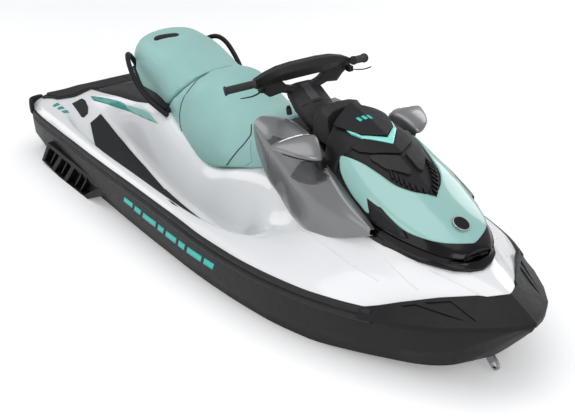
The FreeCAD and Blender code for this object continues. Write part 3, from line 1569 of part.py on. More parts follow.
def make_eye(name, x, y, z, lean):
    """A flat lug with a round hole across the boat, on a foot that leans in to the shell."""
    radius = mm.eye_hole_radius + mm.eye_rim
    half = mm.eye_thickness / 2
    lug = cylinder(f"{name}Lug", radius, mm.eye_thickness, x, y - half, z, to_port)
    foot = doc.addObject("Part::Box", f"{name}Foot")
    bind(foot, Length=2 * radius, Width=mm.eye_thickness, Height=mm.eye_reach)
    stand(
        foot, x - radius * cosine(lean), y - half, z - radius * sine(lean),
        FreeCAD.Rotation(across, -lean),
    )
    hole = cylinder(
        f"{name}Hole", mm.eye_hole_radius, 2 * mm.eye_thickness, x, y - mm.eye_thickness, z, to_port,
    )
    eye = cut(f"{name}Eye", joined(f"{name}Blank", [lug, foot]), [hole])
    for backing_name, backing in (("Hull", hull_lines), ("Deck", deck_lines), ("Core", moulding)):
        eye = cut(f"{name}EyeOn{backing_name}", eye, [backing])
    return eye


keep_object("bow_eye", make_eye(
    "Bow", bow_eye_station_share * mm.hull_length + bow_eye_out_share * mm.eye_reach, 0,
    bow_eye_height_share * mm.draft - bow_eye_drop_share * mm.eye_reach, mm.bow_eye_lean,
))
eye_x = transom_x - eye_stand_share * mm.eye_reach
side_eye = make_eye(
    "Stern", eye_x, stern_eye_width_share * half_beam, stern_eye_height_share * mm.freeboard,
    mm.stern_eye_lean,
)
keep_object("stern_eye_port", side_eye)
keep_object("stern_eye_starboard", other_side("StarboardSternEye", side_eye))
keep_object("tow_eye", make_eye(
    "Tow", eye_x, 0, tow_eye_height_share * mm.freeboard, mm.stern_eye_lean,
))


def make_socket():
    """A turned cup with a flange that rests on the platform."""
    body = new_body("PortSocket", socket_x, socket_y, mm.socket_top)
    tube = mm.socket_bore_radius + mm.socket_wall
    profile = outline_on(body, "SocketProfile", "XZ_Plane", [
        (0, -mm.socket_depth), (tube, -mm.socket_depth), (tube, 0), (mm.socket_radius, 0),
        (mm.socket_radius, mm.socket_wall), (mm.socket_bore_radius, mm.socket_wall),
        (mm.socket_bore_radius, mm.socket_wall - mm.socket_depth),
        (0, mm.socket_wall - mm.socket_depth),
    ])
    turned(body, "SocketTurning", profile, "V_Axis")
    return body


socket = keep_object("socket_port", make_socket())
keep_object("socket_starboard", other_side("StarboardSocket", socket))

doc.recompute()
for feature in doc.Objects:
    if "Invalid" in feature.State or "Error" in feature.State:
        raise RuntimeError(f"{feature.Label} failed: {feature.State}")
for label, feature in pieces.items():
    if feature.Shape.isNull() or not feature.Shape.isValid() or not feature.Shape.Solids:
        raise RuntimeError(f"{label} has no valid shape")

os.makedirs("parts", exist_ok=True)
for label, feature in pieces.items():
    feature.Shape.exportStep(f"parts/{label}.step")
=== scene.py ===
import json
import math
import bmesh
import bpy
from mathutils import Matrix, Vector
from mathutils.bvhtree import BVHTree


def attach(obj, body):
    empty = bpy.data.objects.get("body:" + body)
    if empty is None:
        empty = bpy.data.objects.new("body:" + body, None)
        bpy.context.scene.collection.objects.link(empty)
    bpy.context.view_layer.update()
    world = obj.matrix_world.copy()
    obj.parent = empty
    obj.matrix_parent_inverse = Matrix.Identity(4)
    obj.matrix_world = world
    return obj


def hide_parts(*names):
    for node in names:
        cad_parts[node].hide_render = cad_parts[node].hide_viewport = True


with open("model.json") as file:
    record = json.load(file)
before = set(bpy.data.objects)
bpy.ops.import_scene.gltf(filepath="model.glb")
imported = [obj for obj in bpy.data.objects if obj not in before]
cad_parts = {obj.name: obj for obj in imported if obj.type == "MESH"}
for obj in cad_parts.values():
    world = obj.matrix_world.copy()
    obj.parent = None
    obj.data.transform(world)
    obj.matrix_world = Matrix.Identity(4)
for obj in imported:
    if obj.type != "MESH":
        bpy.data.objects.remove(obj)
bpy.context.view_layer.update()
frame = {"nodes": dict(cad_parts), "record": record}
nodes = frame["nodes"]

# camera where the photo was taken from, in metres
camera = {"place": (4.33708, -2.97090, 2.72445), "azimuth": 55.288, "elevation": 26.308, "lens": 76.87}


def addCamera():
    a = math.radians(camera["azimuth"])
    e = math.radians(camera["elevation"])
    back = Vector((math.sin(a) * math.cos(e), -math.cos(a) * math.cos(e), math.sin(e)))
    lens = bpy.data.cameras.new("photoCamera")
    lens.lens = camera["lens"]
    lens.sensor_width = 36
    eye = bpy.data.objects.new("photoCamera", lens)
    eye.location = camera["place"]
    eye.rotation_mode = "QUATERNION"
    eye.rotation_quaternion = (-back).to_track_quat("-Z", "Y")
    bpy.context.scene.collection.objects.link(eye)
    bpy.context.scene.camera = eye


addCamera()
print("camera set")


def setInputs(node, values):
    for socket, value in values.items():
        node.inputs[socket].default_value = value


def addNode(tree, kind, values=None):
    made = tree.nodes.new(kind)
    setInputs(made, values or {})
    return made


# leads an output into a socket of the material's shader
def feed(tree, output, socket):
    tree.links.new(output, tree.nodes["Principled BSDF"].inputs[socket])


# procedural finishes, all laid on object coordinates
def emptyMaterial(name):
    made = bpy.data.materials.new(name)
    made.use_nodes = True
    tree = made.node_tree
    return made, tree, tree.nodes["Principled BSDF"], addNode(tree, "ShaderNodeTexCoord").outputs["Object"]


def noiseNode(tree, place, scale, detail=2.0, roughness=0.5):
    noise = addNode(tree, "ShaderNodeTexNoise", {"Scale": scale, "Detail": detail, "Roughness": roughness})
    tree.links.new(place, noise.inputs["Vector"])
    return noise.outputs["Fac"]


# noise mostly stays between the first two values
def rangeNode(tree, value, low, high):
    ends = {"From Min": 0.3, "From Max": 0.7, "To Min": low, "To Max": high}
    spread = addNode(tree, "ShaderNodeMapRange", ends)
    tree.links.new(value, spread.inputs["Value"])
    return spread.outputs["Result"]


def tintNode(tree, value, color, low, high):
    mix = tree.nodes.new("ShaderNodeMix")
    mix.data_type = "RGBA"
    mix.inputs["A"].default_value = (*(min(1.0, part * low) for part in color), 1)
    mix.inputs["B"].default_value = (*(min(1.0, part * high) for part in color), 1)
    tree.links.new(value, mix.inputs["Factor"])
    return mix.outputs["Result"]


def bumpNode(tree, height, strength, distance, under=None):
    bump = addNode(tree, "ShaderNodeBump", {"Strength": strength, "Distance": distance})
    tree.links.new(height, bump.inputs["Height"])
    if under is not None:
        tree.links.new(under, bump.inputs["Normal"])
    return bump.outputs["Normal"]


skinLook = {"driftScale": 3.1, "patchScale": 46, "dull": 0.88, "bright": 1.14, "coatRough": 0.05,
            "waveScale": 28, "waveHeight": 0.002, "grainHeight": 0.0006, "grainRough": 0.6}


# moulded, painted and gelcoat surfaces: colour drift, gloss drift and a fine or a broad skin
def surface(name, color, rough, drift=0.06, grain=0.0, grainScale=900, wave=0.0, metal=0.0, coat=0.0,
            shine=0.5):
    made, tree, shader, place = emptyMaterial(name)
    slow = rangeNode(tree, noiseNode(tree, place, skinLook["driftScale"], 3), 0, 1)
    feed(tree, tintNode(tree, slow, color, 1 - drift, 1 + drift), "Base Color")
    patches = noiseNode(tree, place, skinLook["patchScale"], 4)
    feed(tree, rangeNode(tree, patches, rough * skinLook["dull"], rough * skinLook["bright"]), "Roughness")
    setInputs(shader, {"Metallic": metal, "Specular IOR Level": shine, "Coat Weight": coat})
    setInputs(shader, {"Coat Roughness": skinLook["coatRough"]})
    normal = None
    if wave:
        swell = noiseNode(tree, place, skinLook["waveScale"], 1)
        normal = bumpNode(tree, swell, wave, skinLook["waveHeight"])
    if grain:
        fine = noiseNode(tree, place, grainScale, 3, skinLook["grainRough"])
        normal = bumpNode(tree, fine, grain, skinLook["grainHeight"], normal)
    if normal is not None:
        feed(tree, normal, "Normal")
    return made


vinylLook = {"driftScale": 5, "drift": 0.045, "cells": 520, "cellBump": 0.22, "cellHeight": 0.0008,
             "grainScale": 1500, "grainBump": 0.1, "grainHeight": 0.0004, "patchScale": 60,
             "rough": (0.44, 0.54), "sheen": 0.12, "sheenRough": 0.5}


# stitched vinyl over foam: pebble grain and a soft sheen
def vinylFinish(name, color):
    made, tree, shader, place = emptyMaterial(name)
    slow = rangeNode(tree, noiseNode(tree, place, vinylLook["driftScale"], 3), 0, 1)
    feed(tree, tintNode(tree, slow, color, 1 - vinylLook["drift"], 1 + vinylLook["drift"]), "Base Color")
    cells = addNode(tree, "ShaderNodeTexVoronoi", {"Scale": vinylLook["cells"]})
    tree.links.new(place, cells.inputs["Vector"])
    pebbles = bumpNode(tree, cells.outputs["Distance"], vinylLook["cellBump"], vinylLook["cellHeight"])
    grain = noiseNode(tree, place, vinylLook["grainScale"], 2)
    feed(tree, bumpNode(tree, grain, vinylLook["grainBump"], vinylLook["grainHeight"], pebbles), "Normal")
    patches = noiseNode(tree, place, vinylLook["patchScale"], 3)
    feed(tree, rangeNode(tree, patches, *vinylLook["rough"]), "Roughness")
    setInputs(shader, {"Sheen Weight": vinylLook["sheen"], "Sheen Roughness": vinylLook["sheenRough"]})
    return made


# low and high: painted shade in the grooves and painted light on the ridges
foamLook = {"turn": 45, "pitch": 26, "grooveBump": 0.5, "grooveHeight": 0.0016, "grainScale": 1400,
            "grainRough": 0.7, "grainBump": 0.5, "grainHeight": 0.0006, "low": 0.8, "high": 1.15,
            "rough": 0.82}


# foam deck mat with pressed grooves that cross; its colour is darker in the grooves as painted shade and
# lighter on the ridges as painted light
def matFinish(name, color):
    made, tree, shader, place = emptyMaterial(name)
    turn = addNode(tree, "ShaderNodeMapping", {"Rotation": (0, 0, math.radians(foamLook["turn"]))})
    tree.links.new(place, turn.inputs["Vector"])
    both = tree.nodes.new("ShaderNodeMath")
    both.operation = "MULTIPLY"
    for k, axis in enumerate("XY"):
        lines = addNode(tree, "ShaderNodeTexWave", {"Scale": foamLook["pitch"]})
        lines.wave_type = "BANDS"
        lines.bands_direction = axis
        tree.links.new(turn.outputs["Vector"], lines.inputs["Vector"])
        tree.links.new(lines.outputs["Fac"], both.inputs[k])
    lines = both.outputs["Value"]
    groove = bumpNode(tree, lines, foamLook["grooveBump"], foamLook["grooveHeight"])
    grain = noiseNode(tree, place, foamLook["grainScale"], 4, foamLook["grainRough"])
    feed(tree, bumpNode(tree, grain, foamLook["grainBump"], foamLook["grainHeight"], groove), "Normal")
    # colour follows the grooves: painted shade in them, painted light on the ridges
    feed(tree, tintNode(tree, lines, color, foamLook["low"], foamLook["high"]), "Base Color")
    shader.inputs["Roughness"].default_value = foamLook["rough"]
    return made


metalLook = {"detail": 4, "noiseRough": 0.6, "low": 0.86, "high": 1.1, "dull": 0.8, "bright": 1.25,
             "bump": 0.25, "height": 0.0005}


# brushed or cast bare metal
def metalFinish(name, color, rough, stretch, scale):
    made, tree, shader, place = emptyMaterial(name)
    pull = addNode(tree, "ShaderNodeMapping", {"Scale": stretch})
    tree.links.new(place, pull.inputs["Vector"])
    streaks = noiseNode(tree, pull.outputs["Vector"], scale, metalLook["detail"], metalLook["noiseRough"])
    tint = tintNode(tree, rangeNode(tree, streaks, 0, 1), color, metalLook["low"], metalLook["high"])
    feed(tree, tint, "Base Color")
    feed(tree, rangeNode(tree, streaks, rough * metalLook["dull"], rough * metalLook["bright"]), "Roughness")
    feed(tree, bumpNode(tree, streaks, metalLook["bump"], metalLook["height"]), "Normal")
    shader.inputs["Metallic"].default_value = 1.0
    return made


finishes = {
    "white_gelcoat": surface("whiteGelcoat", (0.80, 0.81, 0.82), 0.16, drift=0.012, wave=0.03, coat=0.6),
    "black_shell": surface("blackShell", (0.011, 0.011, 0.012), 0.42, grain=0.06, grainScale=1300, wave=0.03,
                           shine=0.26),
    "black_trim": surface("blackTrim", (0.008, 0.008, 0.009), 0.46, grain=0.30, grainScale=1100, shine=0.24),
    "grey_trim": surface("greyTrim", (0.018, 0.018, 0.019), 0.5, grain=0.4, grainScale=900, shine=0.3),
    "gloss_black": surface("glossBlack", (0.004, 0.004, 0.005), 0.18, wave=0.02, coat=0.16, shine=0.2),
    "foam_mat": matFinish("foamMat", (0.016, 0.016, 0.017)),
    "mint_vinyl": vinylFinish("mintVinyl", (0.300, 0.540, 0.500)),
    "mint_gloss": surface("mintGloss", (0.285, 0.515, 0.475), 0.2, drift=0.02, wave=0.03, coat=0.7),
    "teal_gloss": surface("tealGloss", (0.02, 0.60, 0.53), 0.3, drift=0.03, wave=0.02, coat=0.4),
    "metal_grey": surface("metalGrey", (0.225, 0.225, 0.228), 0.34, drift=0.03, grain=0.08, grainScale=2200,
                          metal=0.55, coat=0.6),
    "soft_rubber": surface("softRubber", (0.022, 0.022, 0.023), 0.62, grain=0.5, grainScale=1500),
    "bare_metal": metalFinish("bareMetal", (0.58, 0.58, 0.60), 0.26, (1, 14, 14), 60),
    "cast_alloy": metalFinish("castAlloy", (0.45, 0.46, 0.47), 0.42, (1, 1, 1), 420),
    "engine_grey": surface("engineGrey", (0.12, 0.12, 0.13), 0.55, grain=0.6, grainScale=300, metal=0.4),
    "stitching": surface("stitching", (0.02, 0.025, 0.025), 0.7, grain=0.6, grainScale=2500),
    "pale_accent": surface("paleAccent", (0.26, 0.74, 0.68), 0.25, coat=0.5),
    # smoked tint; the same finish is painted shade in the fairing's notch and partly along its edge lines
    "smoked_panel_and_shade": surface("smokedPanelAndShade", (0.05, 0.05, 0.052), 0.2, drift=0.1, coat=0.8),
    "deep_teal": surface("deepTeal", (0.0, 0.28, 0.235), 0.3, drift=0.03, coat=0.3),
    "pale_teal": surface("paleTeal", (0.23, 0.50, 0.46), 0.3, drift=0.02, coat=0.3),
    "neck_panel": surface("neckPanel", (0.050, 0.050, 0.052), 0.45, grain=0.4, grainScale=1200),
    # darker mint for the seat panel's lines, painted shade
    "mint_painted_shade": surface("mintPaintedShade", (0.16, 0.34, 0.315), 0.5, drift=0.03),
    "mirror_glass": surface("mirrorGlass", (0.75, 0.77, 0.78), 0.03, drift=0.01, metal=1.0),
}
print("finishes made:", len(finishes))


def modify(piece, name, kind, **values):
    made = piece.modifiers.new(name, kind)
    for key, value in values.items():
        setattr(made, key, value)
    return made


nodeLook = {"angle": 32, "weld": 0.00002}


# frame nodes: a finish by material slot, and sharp edges split
def dressNode(name, finish):
    piece = nodes[name]
    mesh = piece.data
    mesh.materials.clear()
    mesh.materials.append(finishes[finish])
    mesh.polygons.foreach_set("use_smooth", [True] * len(mesh.polygons))
    if "custom_normal" in mesh.attributes:
        mesh.attributes.remove(mesh.attributes["custom_normal"])
    modify(piece, "weld", "WELD", merge_threshold=nodeLook["weld"])
    modify(piece, "edges", "EDGE_SPLIT", split_angle=math.radians(nodeLook["angle"]))


keptNodes = {entry["node"]: entry["material_slot"] for entry in frame["record"]["subparts"]}
for nodeName, slotName in keptNodes.items():
    dressNode(nodeName, slotName)
print("frame nodes dressed:", len(keptNodes))


# a fair curve through stations, never overshooting one
def fairValue(places, values, x):
    x = min(max(x, places[0]), places[-1])
    i = 0
    while i < len(places) - 2 and x > places[i + 1]:
        i += 1
    rises = [(values[k + 1] - values[k]) / (places[k + 1] - places[k]) for k in range(len(places) - 1)]

    def slope(k):
        if k == 0:
            return rises[0]
        if k == len(places) - 1:
            return rises[-1]
        before, after = rises[k - 1], rises[k]
        return 2 * before * after / (before + after) if before * after > 0 else 0.0

    run = places[i + 1] - places[i]
    t = (x - places[i]) / run
    return (
        (2 * t ** 3 - 3 * t * t + 1) * values[i] + (t ** 3 - 2 * t * t + t) * run * slope(i)
        + (-2 * t ** 3 + 3 * t * t) * values[i + 1] + (t ** 3 - t * t) * run * slope(i + 1)
    )


def evenly(low, high, step):
    count = max(1, round((high - low) / step))
    return [low + (high - low) * k / count for k in range(count + 1)]


# one side of a cross section: a point on each fair line of the plan
def halfSection(plan, x):
    half = []
    for ys, zs in plan["lines"]:
        y = fairValue(plan["stations"], ys, x)
        half.append(Vector((x, y if y > 0.0005 else 0.0, fairValue(plan["stations"], zs, x))))
    return half


def fullSection(half):
    return half + [Vector((p.x, -p.y, p.z)) for p in reversed(half[:-1])]


# long tables are kept in millimetres
def metres(table):
    return tuple(metres(entry) for entry in table) if isinstance(table, tuple) else table / 1000


def startMesh():
    bm = bmesh.new()
    bm.edges.layers.float.new("crease_edge")
    return bm


def everything(bm):
    return bm.verts[:] + bm.edges[:] + bm.faces[:]


def ringPairs(row, closed=True):
    return list(zip(row, row[1:])) + ([(row[-1], row[0])] if closed else [])


# draws the first section out along the others, station by station
def loft(bm, sections, closed=False):
    row = [bm.verts.new(p) for p in sections[0]]
    edges = [bm.edges.new(pair) for pair in ringPairs(row, closed)]
    grid = [row]
    for section in sections[1:]:
        made = bmesh.ops.extrude_edge_only(bm, edges=edges)["geom"]
        fresh = {v.co.to_tuple(7): v for v in made if isinstance(v, bmesh.types.BMVert)}
        row = [fresh[v.co.to_tuple(7)] for v in row]
        for v, p in zip(row, section):
            v.co = p
        edges = [bm.edges.get(pair) for pair in ringPairs(row, closed)]
        grid.append(row)
    return grid


def creaseAlong(bm, grid, index, weight):
    layer = bm.edges.layers.float["crease_edge"]
    for a, b in zip(grid, grid[1:]):
        edge = bm.edges.get((a[index], b[index]))
        if edge:
            edge[layer] = weight


def creaseAcross(bm, row, weight):
    layer = bm.edges.layers.float["crease_edge"]
    for pair in ringPairs(row, False):
        edge = bm.edges.get(pair)
        if edge:
            edge[layer] = weight


def closeEnds(bm, grid):
    for row in (grid[0], grid[-1]):
        bmesh.ops.contextual_create(bm, geom=[bm.edges.get(pair) for pair in ringPairs(row)])


# turns a sheet over when most of it faces away
def pointUp(bm, way=Vector((0, 0, 1))):
    bm.normal_update()
    if sum((face.normal.dot(way) * face.calc_area() for face in bm.faces)) < 0:
        bmesh.ops.reverse_faces(bm, faces=bm.faces)


# turns every face of a draped sheet upwards
def faceUp(bm):
    bm.normal_update()
    bmesh.ops.reverse_faces(bm, faces=[face for face in bm.faces if face.normal.z < 0])


def setOut(name, data, slotName, body, finish):
    data.materials.append(finishes[finish or slotName])
    piece = bpy.data.objects.new(name, data)
    bpy.context.scene.collection.objects.link(piece)
    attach(piece, body)
    return piece


def addPiece(name, bm, slotName, body="craft", finish=None, levels=0, thick=0.0, bevel=0.0, stands=(),
             angle=40):
    mesh = bpy.data.meshes.new(name)
    bm.normal_update()
    if levels == 0:
        for edge in bm.edges:
            if len(edge.link_faces) == 2 and edge.calc_face_angle(0) > math.radians(angle):
                edge.smooth = False
    for face in bm.faces:
        face.smooth = True
    bm.to_mesh(mesh)
    bm.free()
    piece = setOut(name, mesh, slotName, body, finish)
    if thick:
        modify(piece, "wall", "SOLIDIFY", thickness=thick, offset=-1)
    if bevel:
        limit = math.radians(35)
        modify(piece, "bevel", "BEVEL", width=bevel, segments=2, limit_method="ANGLE", angle_limit=limit)
    if levels:
        modify(piece, "smooth", "SUBSURF", levels=levels, render_levels=levels)
    if stands:
        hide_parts(*stands)
    return piece


# the finished surface of a piece, for laying others on it
def treeOf(piece):
    bpy.context.view_layer.update()
    return BVHTree.FromObject(piece, bpy.context.evaluated_depsgraph_get())


# moves every vertex along the way onto a surface, and drops those that miss it
def drape(bm, tree, lift, way=Vector((0, 0, -1))):
    lost = []
    for v in bm.verts:
        hit, normal, index, far = tree.ray_cast(v.co - way * 2, way)
        if hit is None:
            lost.append(v)
            continue
        if normal.dot(way) > 0:
            normal = -normal
        v.co = hit + normal * lift
    bmesh.ops.delete(bm, geom=lost, context="VERTS")


# rounds the corners of a flat outline
def roundedOutline(points, radius, steps=4):
    made = []
    count = len(points)
    for k, corner in enumerate(points):
        corner = Vector(corner)
        before = Vector(points[k - 1])
        after = Vector(points[(k + 1) % count])
        cut = min(radius, (before - corner).length * 0.45, (after - corner).length * 0.45)
        start = corner + (before - corner).normalized() * cut
        end = corner + (after - corner).normalized() * cut
        for step in range(steps + 1):
            t = step / steps
            made.append(start * (1 - t) ** 2 + corner * 2 * t * (1 - t) + end * t * t)
    return made


# a flat sheet of small faces inside a convex outline, in plan (XY) or seen from the side (XZ)
def cutSheet(outline, cell, side=False):
    points = [Vector(p) for p in outline]
    area = sum(a.x * b.y - b.x * a.y for a, b in ringPairs(points))
    if area < 0:
        points.reverse()
    low = Vector((min(p.x for p in points), min(p.y for p in points)))
    high = Vector((max(p.x for p in points), max(p.y for p in points)))
    size = high - low
    middle = (low + high) / 2
    bm = startMesh()
    across, along = (max(1, int(length / cell)) for length in size)
    bmesh.ops.create_grid(bm, x_segments=across, y_segments=along, size=0.5)
    bmesh.ops.scale(bm, verts=bm.verts, vec=(size.x, size.y, 1))
    bmesh.ops.translate(bm, verts=bm.verts, vec=(middle.x, middle.y, 0))
    for a, b in ringPairs(points):
        if (b - a).length < 1e-6:
            continue
        outward = Vector((b.y - a.y, a.x - b.x, 0)).normalized()
        bmesh.ops.bisect_plane(
            bm, geom=everything(bm), dist=1e-6, plane_co=(a.x, a.y, 0), plane_no=outward, clear_outer=True,
        )
    if side:
        bmesh.ops.rotate(bm, verts=bm.verts, cent=(0, 0, 0), matrix=Matrix.Rotation(math.radians(90), 3, "X"))
    return bm


# several flat sheets in one mesh
def cutSheets(outlines, cell, side=False):
    bm = startMesh()
    for outline in outlines:
        part = cutSheet(outline, cell, side)
        held = bpy.data.meshes.new("part")
        part.to_mesh(held)
        part.free()
        bm.from_mesh(held)
        bpy.data.meshes.remove(held)
    return bm


# adds the other side; a closed or joined shape then gets its outward normals
def mirrorToPort(bm):
    bmesh.ops.mirror(bm, geom=everything(bm), matrix=Matrix.Identity(4), merge_dist=-1, axis="Y")


def mirrorClosed(bm, merge=0.0):
    mirrorToPort(bm)
    if merge:
        bmesh.ops.remove_doubles(bm, verts=bm.verts, dist=merge)
    bmesh.ops.recalc_face_normals(bm, faces=bm.faces)


def sideLabel(side):
    return "Port" if side > 0 else "Starboard"


def addDrum(bm, place, turn, radius, top, depth, segments=24):
    bmesh.ops.create_cone(
        bm, cap_ends=True, segments=segments, radius1=radius, radius2=top, depth=depth,
        matrix=Matrix.Translation(place) @ turn,
    )


# turns the Z axis to a direction
def turnTo(way):
    return Vector(way).to_track_quat("Z", "Y").to_matrix().to_4x4()


def addBox(bm, place, size, turn=Matrix.Identity(4)):
    bmesh.ops.create_cube(bm, size=1, matrix=Matrix.Translation(place) @ turn @ Matrix.Diagonal((*size, 1)))


# a closed block through sections, on both sides when asked
def addBlock(name, sections, slotName, body="craft", both=False, **look):
    bm = startMesh()
    closeEnds(bm, loft(bm, [[Vector(p) for p in section] for section in sections], closed=True))
    if both:
        mirrorToPort(bm)
    bmesh.ops.recalc_face_normals(bm, faces=bm.faces)
    return addPiece(name, bm, slotName, body, **look)


def onSide(points, side):
    return [(x, y * side, z) for x, y, z in points]


# a round tube along a smooth run of points
def addTube(name, points, radius, slotName, body="craft", finish=None, sides=3):
    line = bpy.data.curves.new(name, "CURVE")
    line.dimensions = "3D"
    line.bevel_depth = radius
    line.bevel_resolution = sides
    line.use_fill_caps = True
    run = line.splines.new("NURBS")
    run.points.add(len(points) - 1)
    for point, place in zip(run.points, points):
        point.co = (*place, 1)
    run.order_u = 3
    run.use_endpoint_u = True
    run.resolution_u = 6
    return setOut(name, line, slotName, body, finish)


# the white deck moulding as a lines plan. Its lines are half widths and heights of: under the rail, rail,
# gunwale, gunwale's inner edge, floor's outer and inner edge, pedestal's edge and top, centre
deckPlan = {
    "stations": metres((-1640, -1451, -1252, -1149, -999, -750, -501, -279, 0, 149, 299, 452, 601, 850,
        1049, 1199, 1331, 1441, 1531, 1600, 1650)),
    "lines": metres((((540, 570, 582, 588, 595, 606, 611, 612, 612, 608, 600, 587, 568, 518, 458, 370,
        300, 225, 155, 90, 16),
        (212, 220, 228, 232, 237, 244, 250, 253, 253, 247, 240, 237, 236, 240, 250, 255, 265, 280, 298,
        313, 320)),
        ((543, 573, 585, 591, 598, 609, 614, 615, 615, 611, 603, 590, 571, 521, 461, 378, 308, 232, 160,
        92, 18),
        (247, 255, 263, 267, 272, 279, 285, 288, 288, 282, 275, 272, 271, 275, 283, 282, 290, 300, 314,
        320, 322)),
        ((515, 545, 565, 570, 578, 588, 595, 598, 597, 594, 585, 573, 553, 500, 425, 342, 255, 165, 92,
        50, 12),
        (275, 285, 295, 297, 300, 302, 305, 306, 305, 302, 300, 297, 292, 295, 300, 300, 313, 330, 338,
        330, 322)),
        ((439, 480, 510, 530, 545, 560, 563, 563, 560, 550, 520, 480, 439, 380, 320, 262, 190, 108, 48,
        30, 10),
        (297, 300, 302, 302, 302, 302, 305, 306, 305, 304, 305, 315, 330, 355, 372, 366, 363, 371, 370,
        346, 328)),
        ((400, 439, 470, 490, 505, 525, 530, 530, 530, 515, 475, 430, 390, 345, 290, 225, 160, 88, 38,
        22, 8),
        (296, 297, 282, 240, 185, 140, 115, 100, 98, 120, 220, 310, 345, 385, 402, 395, 383, 379, 375,
        349, 329)),
        ((330, 350, 318, 306, 302, 316, 338, 345, 345, 345, 350, 360, 345, 310, 260, 195, 132, 70, 30,
        18, 6),
        (296, 297, 276, 232, 182, 136, 110, 95, 93, 115, 215, 310, 365, 420, 432, 415, 398, 386, 378,
        351, 330)),
        ((270, 243, 245, 248, 252, 260, 250, 245, 245, 245, 250, 270, 295, 276, 230, 162, 104, 54, 22,
        13, 4),
        (298, 330, 366, 386, 414, 462, 375, 308, 390, 430, 455, 390, 385, 455, 470, 440, 412, 392, 381,
        353, 331)),
        ((200, 205, 207, 207, 207, 200, 190, 185, 185, 185, 190, 200, 210, 210, 180, 128, 80, 40, 14, 8,
        3),
        (300, 303, 356, 384, 415, 470, 385, 318, 400, 445, 470, 460, 460, 500, 486, 452, 422, 398, 383,
        355, 331)),
        ((0,) * 21,
        (302, 305, 358, 388, 420, 475, 395, 328, 410, 455, 480, 480, 480, 510, 498, 462, 430, 404, 385,
        356, 332)))),
    "step": 0.045, "creases": (1.0, 0.75, 0.35, 0.55, 0.5, 0.45, 0.6, 0.3, 0.0), "endCrease": 0.8,
    "lowestEnd": 0.20, "wellX": (0.60, 1.0), "wellY": 0.15,
}


def makeDeck():
    plan = deckPlan
    xs = evenly(plan["stations"][0], plan["stations"][-1], plan["step"])
    sections = [fullSection(halfSection(plan, x)) for x in xs]
    sections.insert(0, [Vector((p.x, p.y, min(p.z, plan["lowestEnd"]))) for p in sections[0]])
    bm = startMesh()
    grid = loft(bm, sections)
    count = len(plan["lines"])
    for k, weight in enumerate(plan["creases"]):
        creaseAlong(bm, grid, k, weight)
        creaseAlong(bm, grid, 2 * count - 2 - k, weight)
    creaseAcross(bm, grid[1], plan["endCrease"])
    inWell = []
    for face in bm.faces:
        middle = face.calc_center_median()
        if plan["wellX"][0] < middle.x < plan["wellX"][1] and abs(middle.y) < plan["wellY"]:
            inWell.append(face)
    bmesh.ops.delete(bm, geom=inWell, context="FACES")
    pointUp(bm)
    return addPiece("deckShell", bm, "white_gelcoat", levels=2, stands=["deck"])


deckShell = makeDeck()
deckTree = treeOf(deckShell)
print("deck moulding lofted")


# seats: one saddle shape parted by an inclined plane
seatPlan = {
    "stations": metres((-1179, -1119, -999, -850, -701, -551, -422, -279, -120, 50, 149)),
    "lines": metres((((105, 165, 190, 197, 212, 228, 241, 247, 247, 228, 197),
        (418, 434, 459, 470, 445, 365, 315, 305, 355, 410, 440)),
        ((112, 171, 198, 203, 213, 220, 232, 238, 232, 212, 186),
        (490, 530, 560, 565, 540, 480, 450, 430, 450, 490, 515)),
        ((119, 169, 201, 205, 201, 190, 205, 205, 185, 165, 151),
        (560, 620, 655, 650, 620, 585, 600, 565, 540, 560, 580)),
        ((90, 130, 151, 151, 144, 140, 151, 151, 130, 119, 110),
        (620, 690, 725, 720, 695, 665, 680, 635, 605, 625, 635)),
        ((45, 66, 76, 76, 72, 70, 76, 76, 65, 60, 55),
        (635, 709, 745, 741, 717, 687, 706, 657, 627, 647, 654)),
        ((0,) * 11, (640, 715, 752, 748, 725, 695, 715, 665, 635, 655, 660)))),
    "step": 0.03, "partingFoot": (-0.770, 0.400), "partingHead": (-0.398, 0.800), "gap": 0.003,
    "voxel": 0.009, "swell": 0.004, "crease": 0.85, "creaseAngle": 55, "frames": 15,
    "cloth": {"uniform_pressure_force": 4, "tension_stiffness": 40, "compression_stiffness": 40,
        "bending_stiffness": 4},
}


def seatBlock(front):
    plan = seatPlan
    xs = evenly(plan["stations"][0], plan["stations"][-1], plan["step"])
    sections = []
    for x in xs:
        half = halfSection(plan, x)
        sections.append(fullSection(half) + [Vector((x, 0, half[0].z))])
    bm = startMesh()
    grid = loft(bm, sections, closed=True)
    closeEnds(bm, grid)
    foot, head = (Vector((plan[key][0], 0, plan[key][1])) for key in ("partingFoot", "partingHead"))
    along = (head - foot).normalized()
    ahead = Vector((along.z, 0, -along.x))
    shift = ahead * (plan["gap"] / 2 if front else -plan["gap"] / 2)
    cut = bmesh.ops.bisect_plane(
        bm, geom=everything(bm), dist=1e-6, plane_co=foot + shift, plane_no=ahead,
        clear_outer=not front, clear_inner=front,
    )
    rim = [e for e in cut["geom_cut"] if isinstance(e, bmesh.types.BMEdge)]
    bmesh.ops.contextual_create(bm, geom=rim)
    layer = bm.edges.layers.float["crease_edge"]
    for edge in bm.edges:
        if edge.calc_face_angle(0) > math.radians(plan["creaseAngle"]):
            edge[layer] = plan["crease"]
    bmesh.ops.recalc_face_normals(bm, faces=bm.faces)
    return bm


